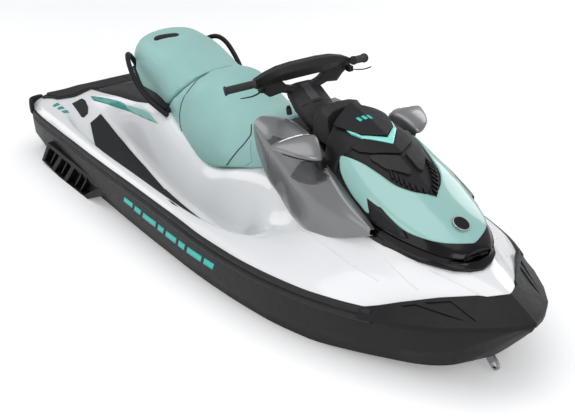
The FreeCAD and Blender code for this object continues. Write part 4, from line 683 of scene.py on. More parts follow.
# remeshes a pad evenly and lets cloth swell it, each point by no more than the given amount
def swellPad(piece, voxel, swell):
    modify(piece, "even", "REMESH", mode="VOXEL", voxel_size=voxel)
    bpy.context.view_layer.update()
    view = bpy.context.evaluated_depsgraph_get()
    even = bpy.data.meshes.new_from_object(piece.evaluated_get(view))
    piece.modifiers.clear()
    piece.data = even
    rest = [v.co.copy() for v in even.vertices]
    cloth = modify(piece, "cloth", "CLOTH")
    cloth.settings.use_pressure = True
    for key, value in seatPlan["cloth"].items():
        setattr(cloth.settings, key, value)
    cloth.settings.effector_weights.gravity = 0
    for step in range(1, seatPlan["frames"] + 1):
        bpy.context.scene.frame_set(step)
    view = bpy.context.evaluated_depsgraph_get()
    puffed = bpy.data.meshes.new_from_object(piece.evaluated_get(view))
    piece.modifiers.clear()
    bpy.context.scene.frame_set(1)
    for v, start, grown in zip(even.vertices, rest, puffed.vertices):
        move = grown.co - start
        if move.length > swell:
            move = move.normalized() * swell
        v.co = start + move
    bpy.data.meshes.remove(puffed)
    bm = bmesh.new()
    bm.from_mesh(even)
    for turn in range(2):
        bmesh.ops.smooth_vert(
            bm, verts=bm.verts, factor=0.5, use_axis_x=True, use_axis_y=True, use_axis_z=True,
        )
    for face in bm.faces:
        face.smooth = True
    bm.to_mesh(even)
    bm.free()


def makeSeat(name, front, node):
    piece = addPiece(name, seatBlock(front), "mint_vinyl", stands=[node])
    modify(piece, "round", "SUBSURF", levels=1, render_levels=1)
    swellPad(piece, seatPlan["voxel"], seatPlan["swell"])
    piece.data.materials.clear()
    piece.data.materials.append(finishes["mint_vinyl"])
    return piece


seatFront = makeSeat("seatFront", True, "seat_front")
seatRear = makeSeat("seatRear", False, "seat_rear")
print("seats swelled")


# hood: cross curves through four fair lines, parted into a painted shell and a dark centre
hoodPlan = {
    "stations": metres((491, 601, 750, 900, 1049, 1199, 1291, 1331)),
    "lines": metres((((169, 205, 235, 245, 226, 180, 126, 80), (660, 630, 580, 540, 515, 495, 480, 475)),
        ((151, 180, 205, 210, 190, 151, 100, 60), (740, 715, 680, 630, 585, 540, 505, 490)),
        ((90, 110, 115, 100, 85, 69, 50, 30), (800, 780, 743, 690, 625, 568, 520, 500)),
        ((0,) * 8, (830, 805, 765, 705, 635, 575, 530, 505)))),
    "limitX": metres((700, 753, 814, 887, 966, 1025, 1089, 1120)),
    "limitY": metres((190, 176, 157, 138, 116, 72, 0, 0)),
    "shares": (0.0, 0.38, 0.72, 1.0), "step": 0.016, "rear": 0.497, "sweep": 0.5, "mintStart": 0.70,
    "centreEnd": 1.084, "limitEnd": 1.089, "noseX": 1.315, "mintThick": 0.007, "mintTuck": (-0.012, -0.010),
    "mintMin": 0.02, "skirtRise": 0.12, "skirtIn": 0.0035, "skirtDrop": 0.004, "skirtFoot": 0.474,
    "skirtFull": 0.03, "centreOverlap": 0.004, "centreLeast": 0.002, "centreDrop": 0.005, "centreTuck": 0.012,
    "centreThick": 0.006, "mintX": metres((700, 736, 828, 900, 952, 968, 998, 1032, 1131, 1227, 1289, 1316)),
    "mintZ": metres((702, 655, 597, 570, 552, 597, 590, 571, 539, 528, 519, 516)),
}


# a point of the hood's cross curve, from its edge (0) to the centre (1)
def hoodPoint(x, share):
    half = halfSection(hoodPlan, x)
    t = min(max(share, 0.0), 1.0)
    y, z = (fairValue(hoodPlan["shares"], values, t) for values in ([p.y for p in half], [p.z for p in half]))
    return Vector((x, y, z))


# how far up the cross curve a test still holds, found by halving
def hoodShare(x, holds):
    low, high = 0.0, 1.0
    for turn in range(24):
        middle = (low + high) / 2
        if holds(hoodPoint(x, middle)):
            low = middle
        else:
            high = middle
    return (low + high) / 2


# where the dark centre and the painted part begin
def centreShare(x, overlap=0.0, least=0.0):
    y = max(least, fairValue(hoodPlan["limitX"], hoodPlan["limitY"], x) - overlap)
    return hoodShare(x, lambda p: p.y > y)


def mintShare(x):
    z = fairValue(hoodPlan["mintX"], hoodPlan["mintZ"], x)
    return hoodShare(x, lambda p: p.z < z)


def makeHoodBase():
    plan = hoodPlan
    xs = evenly(plan["stations"][0], plan["stations"][-1], plan["step"])
    bm = startMesh()
    loft(bm, [fullSection([hoodPoint(x, k / 12) for k in range(13)]) for x in xs])
    pointUp(bm)
    return bm


hoodTree = BVHTree.FromBMesh(makeHoodBase())


def addHoodMint():
    plan = hoodPlan
    sections = []
    for x in evenly(plan["mintStart"], plan["noseX"], plan["step"]):
        limit = centreShare(x) if x < plan["limitEnd"] else 1.0
        start = min(mintShare(x), limit - plan["mintMin"])
        half = [hoodPoint(x, start + (limit - start) * k / 10) for k in range(11)]
        sections.append([half[0] + Vector((0, *plan["mintTuck"]))] + half)
    bm = startMesh()
    grid = loft(bm, sections)
    creaseAlong(bm, grid, 1, 0.9)
    creaseAlong(bm, grid, 11, 0.9)
    mirrorClosed(bm, 0.0015)
    pointUp(bm)
    addPiece("hoodMint", bm, "mint_gloss", "hood", levels=1, thick=plan["mintThick"], stands=["hood_shell"])


# dark skirt under the painted part, set in a little, closed across the nose
def addHoodSkirt():
    plan = hoodPlan
    sections = []
    for x in evenly(plan["mintStart"], plan["stations"][-1], plan["step"]):
        top = 1.0 if x > plan["noseX"] - plan["skirtFull"] else min(1.0, mintShare(x) + plan["skirtRise"])
        half = [hoodPoint(x, top * k / 8) for k in range(9)]
        drop = plan["skirtDrop"]
        sections.append([Vector((p.x, max(0.0, p.y - plan["skirtIn"]), p.z - drop)) for p in half])
    sections.append([Vector((p.x + 0.002, p.y, plan["skirtFoot"])) for p in sections[-1]])
    bm = startMesh()
    grid = loft(bm, sections)
    creaseAcross(bm, grid[-2], 0.8)
    mirrorClosed(bm, 0.0008)
    pointUp(bm)
    addPiece("hoodSkirt", bm, "gloss_black", "hood", levels=1, thick=0.004)


# trims the rear edge to a shallow V, swept towards the bow at the sides
def cutBack(bm):
    for sign in (1, -1):
        bmesh.ops.bisect_plane(
            bm, geom=everything(bm), dist=1e-6, plane_co=(hoodPlan["rear"], 0, 0),
            plane_no=(-1, sign * hoodPlan["sweep"], 0), clear_outer=True, clear_inner=False,
        )


def addHoodCentre():
    plan = hoodPlan
    drop, tuck = (Vector((0, 0, -plan[key])) for key in ("centreDrop", "centreTuck"))
    sections = []
    for x in evenly(plan["stations"][0], plan["centreEnd"], plan["step"]):
        limit = centreShare(x, plan["centreOverlap"], plan["centreLeast"]) if x > plan["mintStart"] else 0.0
        half = [hoodPoint(x, limit + (1 - limit) * k / 10) for k in range(11)]
        sections.append(fullSection([half[0] + tuck] + [p + drop for p in half]))
    bm = startMesh()
    loft(bm, sections)
    cutBack(bm)
    pointUp(bm)
    addPiece("hoodCentre", bm, "black_trim", "hood", levels=1, thick=plan["centreThick"], stands=["hood_top"])


addHoodMint()
addHoodSkirt()

# hinge barrels under the nose
hoodKnuckle = {
    "axisX": 1.32132, "axisZ": 0.461, "radius": 0.0088, "width": 0.029, "out": 0.035,
}


def addKnuckles():
    look = hoodKnuckle
    turn = Matrix.Rotation(math.pi / 2, 4, "X")
    bm = startMesh()
    for side in (1, -1):
        place = (look["axisX"], side * look["out"], look["axisZ"])
        addDrum(bm, place, turn, look["radius"], look["radius"], look["width"])
    addPiece("hoodKnuckles", bm, "black_trim", "hood", bevel=0.001)


addKnuckles()
addHoodCentre()

# sheets that follow the hood: raised panel, band, vents and ribs
hoodSheets = {
    "hoodPanel": {"points": metres(((506, 0), (566, 122), (590, 124), (640, 108), (700, 80), (757, 0))),
        "round": (0.0001, 1), "lift": 0.009, "finish": "black_trim", "slot": "black_trim"},
    "hoodBand": {
        "points": metres(((612, 112), (662, 107), (715, 87), (803, 0), (765, 0), (700, 83), (654, 100))),
        "parts": ((0, 1, 6), (1, 2, 5, 6), (2, 3, 4, 5)), "lift": 0.004, "finish": "pale_accent",
        "slot": "teal_gloss", "stands": ["hood_accent"]},
    "hoodRidge": {"points": metres(((720, 88), (806, 0), (856, 0), (800, 105), (760, 140), (715, 150))),
        "parts": ((0, 1, 2, 3), (0, 3, 4, 5)), "lift": 0.004, "finish": "black_trim", "slot": "black_trim"},
    "hoodVents": {"points": metres(((800, 122), (862, 18), (942, 18), (958, 32), (890, 104), (820, 126))),
        "round": (0.01, 4), "lift": 0.004, "finish": "grey_trim", "slot": "black_trim"},
}


def addHoodSheet(name, sheet):
    if "round" in sheet:
        outlines = [roundedOutline(sheet["points"], *sheet["round"])]
    else:
        outlines = [[sheet["points"][k] for k in part] for part in sheet["parts"]]
    bm = cutSheets(outlines, 0.008)
    mirrorToPort(bm)
    bmesh.ops.remove_doubles(bm, verts=bm.verts, dist=0.0004)
    drape(bm, hoodTree, sheet["lift"])
    faceUp(bm)
    stands = sheet.get("stands", ())
    thick, finish = sheet["lift"] + 0.006, sheet["finish"]
    addPiece(name, bm, sheet["slot"], "hood", finish=finish, thick=thick, bevel=0.0016, stands=stands)


for sheetName, sheet in hoodSheets.items():
    addHoodSheet(sheetName, sheet)

hoodRibs = {
    "count": 8, "spanX": (0.938, 1.070), "pathX": (0.905, 0.966, 1.025, 1.068),
    "pathY": (0.122, 0.100, 0.062, 0.018), "in": 0.004, "least": 0.006, "length": 0.044, "shorter": 0.45,
    "width": 0.0075, "taper": 0.6, "lift": 0.006, "sweep": 20,
}


def addHoodRibs():
    look = hoodRibs
    turn = math.radians(look["sweep"])
    along = Vector((-math.cos(turn), -math.sin(turn)))
    across = Vector((-along.y, along.x)) * look["width"] / 2
    outlines = []
    for k in range(look["count"]):
        t = k / (look["count"] - 1)
        x = look["spanX"][0] + (look["spanX"][1] - look["spanX"][0]) * t
        root = Vector((x, fairValue(look["pathX"], look["pathY"], x) - look["in"]))
        tip = root + along * (look["length"] * (1 - look["shorter"] * t))
        tip.y = max(tip.y, look["least"])
        narrow = across * look["taper"]
        outlines.append([root - across, root + across, tip + narrow, tip - narrow])
    bm = cutSheets(outlines, 0.006)
    mirrorToPort(bm)
    drape(bm, hoodTree, look["lift"])
    faceUp(bm)
    thick = look["lift"] + 0.004
    addPiece("hoodRibs", bm, "black_trim", "hood", thick=thick, bevel=0.002, stands=["hood_grille"])


addHoodRibs()

# round badge on the nose, plain
badge = {
    "place": (1.231, 0.0), "rise": 0.004, "taper": 0.97,
    "parts": (("badgeDisc", 0.034, 0.003, "gloss_black"), ("badgeRing", 0.038, 0.0022, "bare_metal")),
}


def addBadge():
    hit, normal, index, far = hoodTree.ray_cast(Vector((*badge["place"], 2)), Vector((0, 0, -1)))
    for name, radius, depth, slotName in badge["parts"]:
        bm = startMesh()
        place = hit + normal * (depth * 0.5 + badge["rise"])
        addDrum(bm, place, turnTo(normal), radius, radius * badge["taper"], depth, 48)
        addPiece(name, bm, slotName, "hood", bevel=0.0006)


addBadge()
print("hood pieces made")


# side fairings
fairingPlan = {
    "stations": metres((120, 249, 382, 515, 697, 863, 1013)),
    "lines": metres((((226, 251, 264, 295, 326, 314, 276), (560, 455, 395, 365, 385, 435, 498)),
        ((232, 262, 280, 304, 326, 312, 278), (610, 550, 510, 480, 475, 490, 510)),
        ((238, 270, 289, 307, 320, 307, 276), (655, 640, 610, 585, 555, 535, 517)),
        ((230, 228, 230, 244, 284, 293, 273), (672, 690, 674, 646, 606, 562, 523)),
        ((208, 172, 166, 182, 246, 276, 270), (692, 712, 697, 664, 640, 580, 525)),
        ((150, 125, 120, 135, 200, 222, 242), (682, 702, 686, 650, 622, 566, 512)))),
    "step": 0.03, "tuck": (0, -0.03, -0.01),
}


def makeFairings():
    plan = fairingPlan
    sections = []
    for x in evenly(plan["stations"][0], plan["stations"][-1], plan["step"]):
        half = halfSection(plan, x)
        half.insert(0, half[0] + Vector(plan["tuck"]))
        sections.append([Vector((p.x, -p.y, p.z)) for p in half])
    bm = startMesh()
    grid = loft(bm, sections)
    creaseAlong(bm, grid, 1, 0.7)
    creaseAlong(bm, grid, 5, 0.85)
    mirrorClosed(bm)
    pointUp(bm)
    return addPiece("sideFairings", bm, "metal_grey", levels=2, thick=0.006, stands=["side_fairings"])


fairingTree = treeOf(makeFairings())
print("fairings made")


# lays flat, convex outlines on a finished surface; seen from above or from the side
def addDecal(name, outlines, tree, lift, slotName, finish, body="craft", side=False, cell=0.012,
             mirrored=True, stands=()):
    bm = cutSheets(outlines, cell, side)
    bmesh.ops.remove_doubles(bm, verts=bm.verts, dist=0.0004)
    way = Vector((0, -1, 0)) if side else Vector((0, 0, -1))
    drape(bm, tree, lift, way)
    pointUp(bm, -way)
    if mirrored:
        mirrorClosed(bm)
        bm.normal_update()
        for island in (1, -1):
            half = [f for f in bm.faces if f.calc_center_median().y * island > 0]
            out = sum(f.normal.dot(-way) * f.calc_area() * (island if side else 1) for f in half)
            if out < 0:
                bmesh.ops.reverse_faces(bm, faces=half)
    addPiece(name, bm, slotName, body, finish=finish, thick=lift + 0.002, stands=stands)


# several decals of one surface, each with its own look over the shared one
def addDecals(sheets, tree, **shared):
    for name, sheet in sheets.items():
        addDecal(name, tree=tree, **{**shared, **sheet})


seamLook = {
    "step": 0.012, "ends": 0.25, "middle": 0.5,
}


# a thin line laid on a finished surface through a few guide points, on both sides
def addSeam(name, points, tree, radius, slotName, finish, sink):
    for sign in (1, -1):
        path = []
        for a, b in zip(points, points[1:]):
            a, b = Vector(a), Vector(b)
            count = max(1, round((b - a).length / seamLook["step"]))
            path += [a + (b - a) * k / count for k in range(count)]
        path.append(Vector(points[-1]))
        laid = []
        for p in path:
            hit, normal, index, far = tree.find_nearest(Vector((p.x, p.y * sign, p.z)))
            laid.append(hit + normal * radius * sink)
        eased = [laid[0]]
        for a, b, c in zip(laid, laid[1:], laid[2:]):
            eased.append(a * seamLook["ends"] + b * seamLook["middle"] + c * seamLook["ends"])
        eased.append(laid[-1])
        addTube(name + sideLabel(sign), eased, radius, slotName, finish=finish, sides=2)


# presses a flat pocket with a convex outline into the faces that look the given way
def pressIn(bm, corners, way, depth, rim, near=0.05):
    corners = [Vector(c) for c in corners]
    middle = sum(corners, Vector()) / len(corners)
    way = way.normalized()
    bm.normal_update()
    inside = []
    for f in bm.faces:
        if f.normal.dot(way) > 0.6 and abs((f.calc_center_median() - middle).dot(way)) < near:
            inside.append(f)
    for a, b in ringPairs(corners):
        out = (b - a).cross(way).normalized()
        if (middle - a).dot(out) > 0:
            out = -out
        parts = set(inside)
        edges, verts = {e for f in parts for e in f.edges}, {v for f in parts for v in f.verts}
        geom = list(parts) + list(edges) + list(verts)
        cut = bmesh.ops.bisect_plane(bm, geom=geom, dist=1e-6, plane_co=a, plane_no=out)
        faces = [g for g in cut["geom"] if isinstance(g, bmesh.types.BMFace)]
        inside = [f for f in faces if (f.calc_center_median() - a).dot(out) < 0]
    if inside:
        bm.normal_update()
        bmesh.ops.inset_region(
            bm, faces=inside, thickness=rim, depth=-depth, use_even_offset=True, use_boundary=True,
        )


# rails along the gunwale with two ribs and a groove between them
railPlan = {
    "stations": metres((-1640, -1451, -1199, -900, -601, -299, 0, 299, 601, 850, 1049, 1199, 1331)),
    "out": metres((555, 585, 600, 615, 625, 627, 627, 615, 583, 533, 473, 405, 340)),
    "height": metres((223, 230, 240, 250, 258, 263, 263, 250, 246, 250, 260, 265, 275)),
    "span": (-1.562, 1.19),
    "section": metres(((-30, 22), (-14, 26), (-3, 22), (0, 12), (-2, 2), (-10, -3), (-10, -8), (-3, -13),
        (0, -24), (-6, -36), (-16, -42), (-32, -42))),
    "step": 0.045,
}


def addRubRail():
    plan = railPlan
    sections = []
    for x in evenly(*plan["span"], plan["step"]):
        y, z = (fairValue(plan["stations"], plan[key], x) for key in ("out", "height"))
        sections.append([(x, y + dy, z + dz) for dy, dz in plan["section"]])
    addBlock("rubRail", sections, "black_trim", both=True, finish="grey_trim", stands=["rub_rail"], angle=50)


addRubRail()

# bumper round the bow: top edge, widest edge and tucked lower edge, with two pressed wedges a side
bowBumper = {
    "top": metres(((1150, 422, 292), (1199, 372, 306), (1254, 309, 326), (1353, 203, 358),
        (1453, 98, 380), (1467, 88, 381), (1482, 78, 382), (1527, 0, 390))),
    "wide": metres(((1150, 438, 262), (1215, 402, 265), (1300, 362, 272), (1441, 272, 290),
        (1560, 172, 314), (1620, 96, 324), (1645, 56, 328), (1668, 0, 332))),
    "flare": (0.6, 1, 0), "innerIn": 0.02, "innerDrop": 0.012, "lip": 0.020, "tuck": 0.018, "tuckDrop": 0.008,
    "wedges": metres((((1262, 318, 314), (1300, 276, 326), (1500, 190, 320)),
        ((1322, 250, 334), (1392, 180, 352), (1530, 168, 328)))),
    "wedgeDepth": 0.006, "wedgeRim": 0.0025, "wedgeNear": 0.06,
}


def addBowBumper():
    look = bowBumper
    rows = []
    for top, wide in zip(look["top"], look["wide"]):
        top, wide = Vector(top), Vector(wide)
        out = Vector(look["flare"]).normalized() if wide.y > 0.02 else Vector((1, 0, 0))
        back = look["innerIn"]
        inner = top + Vector((-out.x * back, -out.y * back if top.y > 0 else 0, -look["innerDrop"]))
        lip = wide + Vector((0, 0, -look["lip"]))
        rows.append([inner, top, wide, lip, lip - out * look["tuck"] + Vector((0, 0, -look["tuckDrop"]))])
    bm = startMesh()
    loft(bm, rows)
    pointUp(bm, Vector((0.4, 0.8, 0.4)))
    start, ahead, low = (Vector(p) for p in (look["top"][0], look["top"][2], look["wide"][2]))
    side = (low - start).cross(ahead - start)
    if side.y < 0:
        side = -side
    for wedge in look["wedges"]:
        pressIn(bm, wedge, side, look["wedgeDepth"], look["wedgeRim"], look["wedgeNear"])
    mirrorClosed(bm, 0.0005)
    pointUp(bm, Vector((1, 0, 1)))
    addPiece("bowBumper", bm, "black_trim", stands=["bow_bumper"], thick=0.005, bevel=0.003, angle=12)


addBowBumper()

# caps round the stern corners
sternCap = {
    "share": 0.9,
    "path":
        ((-1.562, 0.575, 0.0), (-1.600, 0.572, 0.25), (-1.632, 0.556, 0.6), (-1.646, 0.525, 1.0),
        (-1.648, 0.490, 1.0), (-1.648, 0.466, 1.0)),
    "section": metres(((-30, 303), (-8, 303), (0, 293), (2, 262), (-2, 228), (-10, 216), (-30, 214))),
}


def addSternCaps():
    rows = []
    for x, y, turn in sternCap["path"]:
        beside = (1 - turn) * sternCap["share"]
        rows.append([(x - out * turn, y + out * beside, z) for out, z in sternCap["section"]])
    addBlock("sternCaps", rows, "black_trim", both=True, stands=["stern_bumpers"], levels=1)


addSternCaps()
print("rail and bumpers made")

# sponsons: a block with three pockets, inclined ribs between them and a pointed front
sponson = {
    "outline": metres(((-1332, 146), (-1407, 20), (-1104, -8), (-899, -16), (-612, 118), (-679, 134))),
    "foot": 0.512, "face": 0.607, "lean": 0.012,
    "pockets": metres((((-1376, 30), (-1312, 124), (-1192, 121), (-1286, 14)),
        ((-1252, 12), (-1158, 119), (-1048, 117), (-1142, 6)),
        ((-1108, 4), (-1014, 116), (-735, 114), (-905, 6)))),
    "depth": 0.040, "rim": 0.003, "bevel": 0.003, "leanAbove": 0.09, "noseAhead": -0.7, "noseBack": 0.012,
    "struts": metres(((-1330, 18), (-1195, 10), (-1030, 6), (-965, 6))),
    "strutRise": (0.088, 0.100), "strutIn": 0.028, "strutWidth": 0.009, "strutDeep": 0.034,
}


def addSponsons():
    look = sponson
    bm = cutSheet(look["outline"], 2.0, side=True)
    bmesh.ops.translate(bm, verts=bm.verts, vec=(0, look["foot"], 0))
    made = bmesh.ops.extrude_face_region(bm, geom=bm.faces[:])["geom"]
    fresh = [v for v in made if isinstance(v, bmesh.types.BMVert)]
    for v in fresh:
        v.co.y = look["face"] - (look["lean"] if v.co.z > look["leanAbove"] else 0.0)
        if v.co.x > look["noseAhead"]:
            v.co.x -= look["noseBack"]
    bmesh.ops.recalc_face_normals(bm, faces=bm.faces)
    for pocket in look["pockets"]:
        pressIn(bm, [(x, look["face"], z) for x, z in pocket], Vector((0, 1, 0)), look["depth"], look["rim"])
    ahead, up = look["strutRise"]
    turn = Matrix.Rotation(math.atan2(ahead, up), 4, "Y")
    for x, z in look["struts"]:
        middle = (x + ahead * 0.5, look["face"] - look["strutIn"], z + up * 0.5)
        addBox(bm, middle, (look["strutWidth"], look["strutDeep"], math.hypot(ahead, up)), turn)
    mirrorClosed(bm)
    addPiece("sponsonBlocks", bm, "black_trim", stands=["sponsons"], bevel=look["bevel"])


addSponsons()
print("sponsons made")


# steering: a faceted frame round the opening, as sections that run round it
# outer (y, z), inner (y, z), middle x, half depth
barPlan = {
    "ring": metres((((0, 929), (0, 860), 180, 36), ((70, 929), (50, 860), 180, 36),
        ((145, 923), (92, 858), 178, 34), ((210, 906), (106, 855), 174, 28),
        ((256, 884), (111, 851), 164, 20), ((262, 850), (109, 847), 160, 18),
        ((215, 820), (105, 842), 162, 22), ((182, 791), (97, 833), 164, 26),
        ((125, 800), (80, 823), 166, 27), ((64, 784), (45, 814), 168, 28), ((0, 782), (0, 811), 168, 28))),
    "edge": 0.55, "crown": 0.6, "bevel": 0.003,
}


def addBar():
    half = []
    for outer, inner, x, depth in barPlan["ring"]:
        o, i = Vector(outer), Vector(inner)
        m = o * barPlan["crown"] + i * (1 - barPlan["crown"])
        thin = depth * barPlan["edge"]
        ring = [(x + thin, o), (x + depth, m), (x + thin, i), (x - thin, i), (x - depth, m), (x - thin, o)]
        half.append([Vector((px, p.x, p.y)) for px, p in ring])
    bm = startMesh()
    other = [[Vector((p.x, -p.y, p.z)) for p in row] for row in reversed(half[1:-1])]
    grid = loft(bm, half + other, closed=True)
    ends = [bm.edges.get(pair) for row in (grid[0], grid[-1]) for pair in ringPairs(row)]
    bmesh.ops.bridge_loops(bm, edges=ends)
    bmesh.ops.recalc_face_normals(bm, faces=bm.faces)
    bevel = barPlan["bevel"]
    addPiece("barFrame", bm, "black_trim", "steering", finish="grey_trim", bevel=bevel, stands=["handlebar"])


addBar()

# neck between the bar and the console: stations along its fall
neckPlan = {
    "foot": (0.350, 0.668), "head": (0.146, 0.806), "stations": (0.0, 0.12, 0.45, 0.50, 0.80, 1.0),
    "half": metres((70, 80, 96, 97, 92, 80)),
    "rise": metres((18, 28, 40, 41, 34, 20)),
    "fall": metres((22, 30, 30, 30, 30, 22)),
    "shape":
        ((-1, -0.2), (-0.92, 0.45), (-0.42, 1.0), (0.42, 1.0), (0.92, 0.45), (1, -0.2), (0.8, -1.0),
        (-0.8, -1.0)), "joint": 0.47, "jointOut": 0.0006, "jointRadius": 0.0018,
    "panel": (0.52, 0.62, 0.82, 0.93), "panelShare": 0.5, "panelLift": 0.0015,
}


def neckSection(t, grow=0.0):
    plan = neckPlan
    foot, head = Vector(plan["foot"]), Vector(plan["head"])
    middle = foot + (head - foot) * t
    along = (head - foot).normalized()
    up = Vector((along.y, -along.x))
    half, rise, fall = (fairValue(plan["stations"], plan[key], t) + grow for key in ("half", "rise", "fall"))
    made = []
    for across, lift in plan["shape"]:
        place = middle + up * ((rise if lift > 0 else fall) * lift)
        made.append((place.x, half * across, place.y))
    return made


def addNeck():
    plan = neckPlan
    rings = [neckSection(t) for t in plan["stations"]]
    addBlock("neckBlock", rings, "grey_trim", "steering", bevel=0.004, stands=["steering_neck"])
    joint = neckSection(plan["joint"], plan["jointOut"])[0:6]
    addTube("neckJoint", joint, plan["jointRadius"], "gloss_black", "steering", sides=1)
    share, lift = plan["panelShare"], plan["panelLift"]
    panel = [[(x, y * share, z + lift) for x, y, z in neckSection(t)] for t in plan["panel"]]
    addBlock("neckPanel", panel, "grey_trim", "steering", finish="neck_panel", bevel=0.002)


addNeck()

# grips: ribbed rubber with an end flange and an inner collar
gripPlan = {
    "root": (0.1895, 0.262, 0.8745), "tip": (0.1205, 0.381, 0.8435), "radius": 0.0165, "rib": 0.0012,
    "ribs": 22, "flange": 0.0215, "collar": 0.020, "collarEnd": 0.010, "start": 0.013, "ribStart": 0.016,
    "ribEnd": 0.012, "ribShares": (0.25, 0.6, 0.85), "flangeSpan": (0.002, 0.008), "flangeEdge": 0.004,
}


def gripOutline(length):
    look = gripPlan
    thin, wide, flange = look["radius"], look["radius"] + look["rib"], look["flange"]
    outline = [(0.0, 0.0), (look["collar"], 0.0), (look["collar"], look["collarEnd"]), (thin, look["start"])]
    first, last = look["ribStart"], length - look["ribEnd"]
    pitch = (last - first) / look["ribs"]
    rise, crest, fall = (pitch * share for share in look["ribShares"])
    for k in range(look["ribs"]):
        z = first + (last - first) * k / look["ribs"]
        outline += [(thin, z), (wide, z + rise), (wide, z + crest), (thin, z + fall)]
    near, far = look["flangeSpan"]
    outline += [(thin, last), (flange, last + near), (flange, last + far)]
    return outline + [(flange - look["flangeEdge"], length), (0.0, length)]


def addGrips():
    for side, node in ((1, "grip_port"), (-1, "grip_starboard")):
        root, tip = (Vector(onSide([gripPlan[key]], side)[0]) for key in ("root", "tip"))
        bm = startMesh()
        row = [bm.verts.new((r, 0, z)) for r, z in gripOutline((tip - root).length)]
        edges = [bm.edges.new(pair) for pair in ringPairs(row, False)]
        bmesh.ops.spin(
            bm, geom=row + edges, cent=(0, 0, 0), axis=(0, 0, 1), angle=math.tau, steps=28, use_merge=True,
        )
        bmesh.ops.remove_doubles(bm, verts=bm.verts, dist=0.00005)
        bmesh.ops.transform(bm, matrix=Matrix.Translation(root) @ turnTo(tip - root), verts=bm.verts)
        bmesh.ops.recalc_face_normals(bm, faces=bm.faces)
        addPiece("grip" + sideLabel(side), bm, "soft_rubber", "steering", stands=[node], angle=35)


addGrips()

# levers: a flat curved blade from a small pivot block
leverPlan = {
    "port": metres(((196, 238, 842), (214, 262, 838), (222, 300, 834), (212, 340, 832), (206, 356, 833))),
    "half": (0.0075, 0.0070, 0.0060, 0.0052, 0.0035), "thick": 0.0045, "block": (0.196, 0.236, 0.845),
    "blockSize": (0.030, 0.026, 0.026),
}


def addLevers():
    look = leverPlan
    t = look["thick"] / 2
    for side, node in ((1, "brake_lever"), (-1, "throttle_lever")):
        sections = []
        for (x, y, z), half in zip(look["port"], look["half"]):
            corners = ((x - half, z - t), (x + half, z - t), (x + half, z + t), (x - half, z + t))
            sections.append([(px, y * side, pz) for px, pz in corners])
        addBlock("lever" + sideLabel(side), sections, "black_trim", "steering", levels=1, stands=[node])
        bm = startMesh()
        addBox(bm, onSide([look["block"]], side)[0], look["blockSize"])
        addPiece("pivot" + sideLabel(side), bm, "black_trim", "steering", bevel=0.004)


addLevers()

# switch block with two buttons on each arm
switches = {
    "place": (0.156, 0.226, 0.872), "size": (0.034, 0.030, 0.020),
    "buttons": ((-0.007, 0.002), (0.007, 0.002)), "radius": 0.0042, "taper": 0.9, "depth": 0.004,
    "out": 0.0005,
}


def addSwitches():
    look = switches
    turn = Matrix.Rotation(math.radians(90), 4, "Y")
    for side in (1, -1):
        x, y, z = onSide([look["place"]], side)[0]
        bm = startMesh()
        addBox(bm, (x, y, z), look["size"])
        addPiece("switchBlock" + sideLabel(side), bm, "black_trim", "steering", bevel=0.003)
        bm = startMesh()
        for shift, lift in look["buttons"]:
            place = (x - look["size"][0] / 2 - look["out"], y + shift, z + lift)
            addDrum(bm, place, turn, look["radius"], look["radius"] * look["taper"], look["depth"], 20)
        addPiece("switchButtons" + sideLabel(side), bm, "grey_trim", "steering", bevel=0.0008)


addSwitches()
print("steering made")

# gauge pod: faceted hood ahead of the neck with a dark screen towards the rider
podPlan = {
    "across": (0.0, 0.060, 0.100, 0.116), "back": metres(((388, 660), (388, 662), (392, 662), (404, 664))),
    "brow": metres(((391, 796), (393, 794), (396, 786), (408, 700))),
    "crown": metres(((424, 812), (427, 810), (434, 800), (436, 704))),
    "front": metres(((466, 800), (474, 796), (484, 776), (480, 690))),
    "toe": metres(((484, 700), (506, 690), (522, 672), (500, 664))),
    "screen": {"place": (0.3885, 0, 0.730), "tilt": -88, "size": (0.072, 0.110)},
}


def addPod():
    plan = podPlan
    half = []
    for k, y in enumerate(plan["across"]):
        points = [plan[key][k] for key in ("back", "brow", "crown", "front", "toe")]
        half.append([(x, y, z) for x, z in points])
    sections = [onSide(section, -1) for section in reversed(half)] + half[1:]
    addBlock("podHousing", sections, "black_trim", finish="grey_trim", bevel=0.004, stands=["gauge_pod"])
    screen = plan["screen"]
    bm = startMesh()
    bmesh.ops.create_grid(bm, x_segments=1, y_segments=1, size=0.5)
    turn = Matrix.Rotation(math.radians(screen["tilt"]), 4, "Y") @ Matrix.Diagonal((*screen["size"], 1, 1))
    bmesh.ops.transform(bm, matrix=Matrix.Translation(screen["place"]) @ turn, verts=bm.verts)
    pointUp(bm, Vector((-1, 0, 0)))
    addPiece("podScreen", bm, "black_trim", finish="gloss_black", thick=0.002)


addPod()

# mirrors: a swept shell between its outer tip and its broad inner end, with the glass looking aft
# a section each: rear low, rear top, crown, front edge, under
mirrorPlan = {
    "shell": metres((
        ((487, 403, 714), (490, 406, 724), (496, 404, 725), (504, 404, 718), (497, 403, 712)),
        ((491, 368, 704), (495, 369, 740), (535, 376, 738), (572, 382, 712), (537, 371, 702)),
        ((492, 311, 698), (503, 312, 755), (566, 329, 750), (644, 357, 706), (578, 326, 690)),
        ((497, 248, 693), (517, 250, 764), (586, 271, 757), (688, 314, 695), (610, 279, 679)),
        ((505, 201, 692), (530, 206, 762), (593, 225, 752), (702, 271, 682), (626, 240, 673)),
        ((511, 193, 698), (533, 196, 752), (589, 212, 742), (681, 252, 685), (621, 230, 679)))),
    "underDrop": 0.004, "underBack": 0.07, "lowDrop": 2.2, "glassIn": 0.16, "glassOut": 0.005,
    "stalk": metres((((600, 208, 630), (660, 214, 618), (660, 242, 614), (600, 236, 626)),
        ((592, 222, 696), (648, 230, 688), (648, 258, 688), (592, 250, 696)))),
}


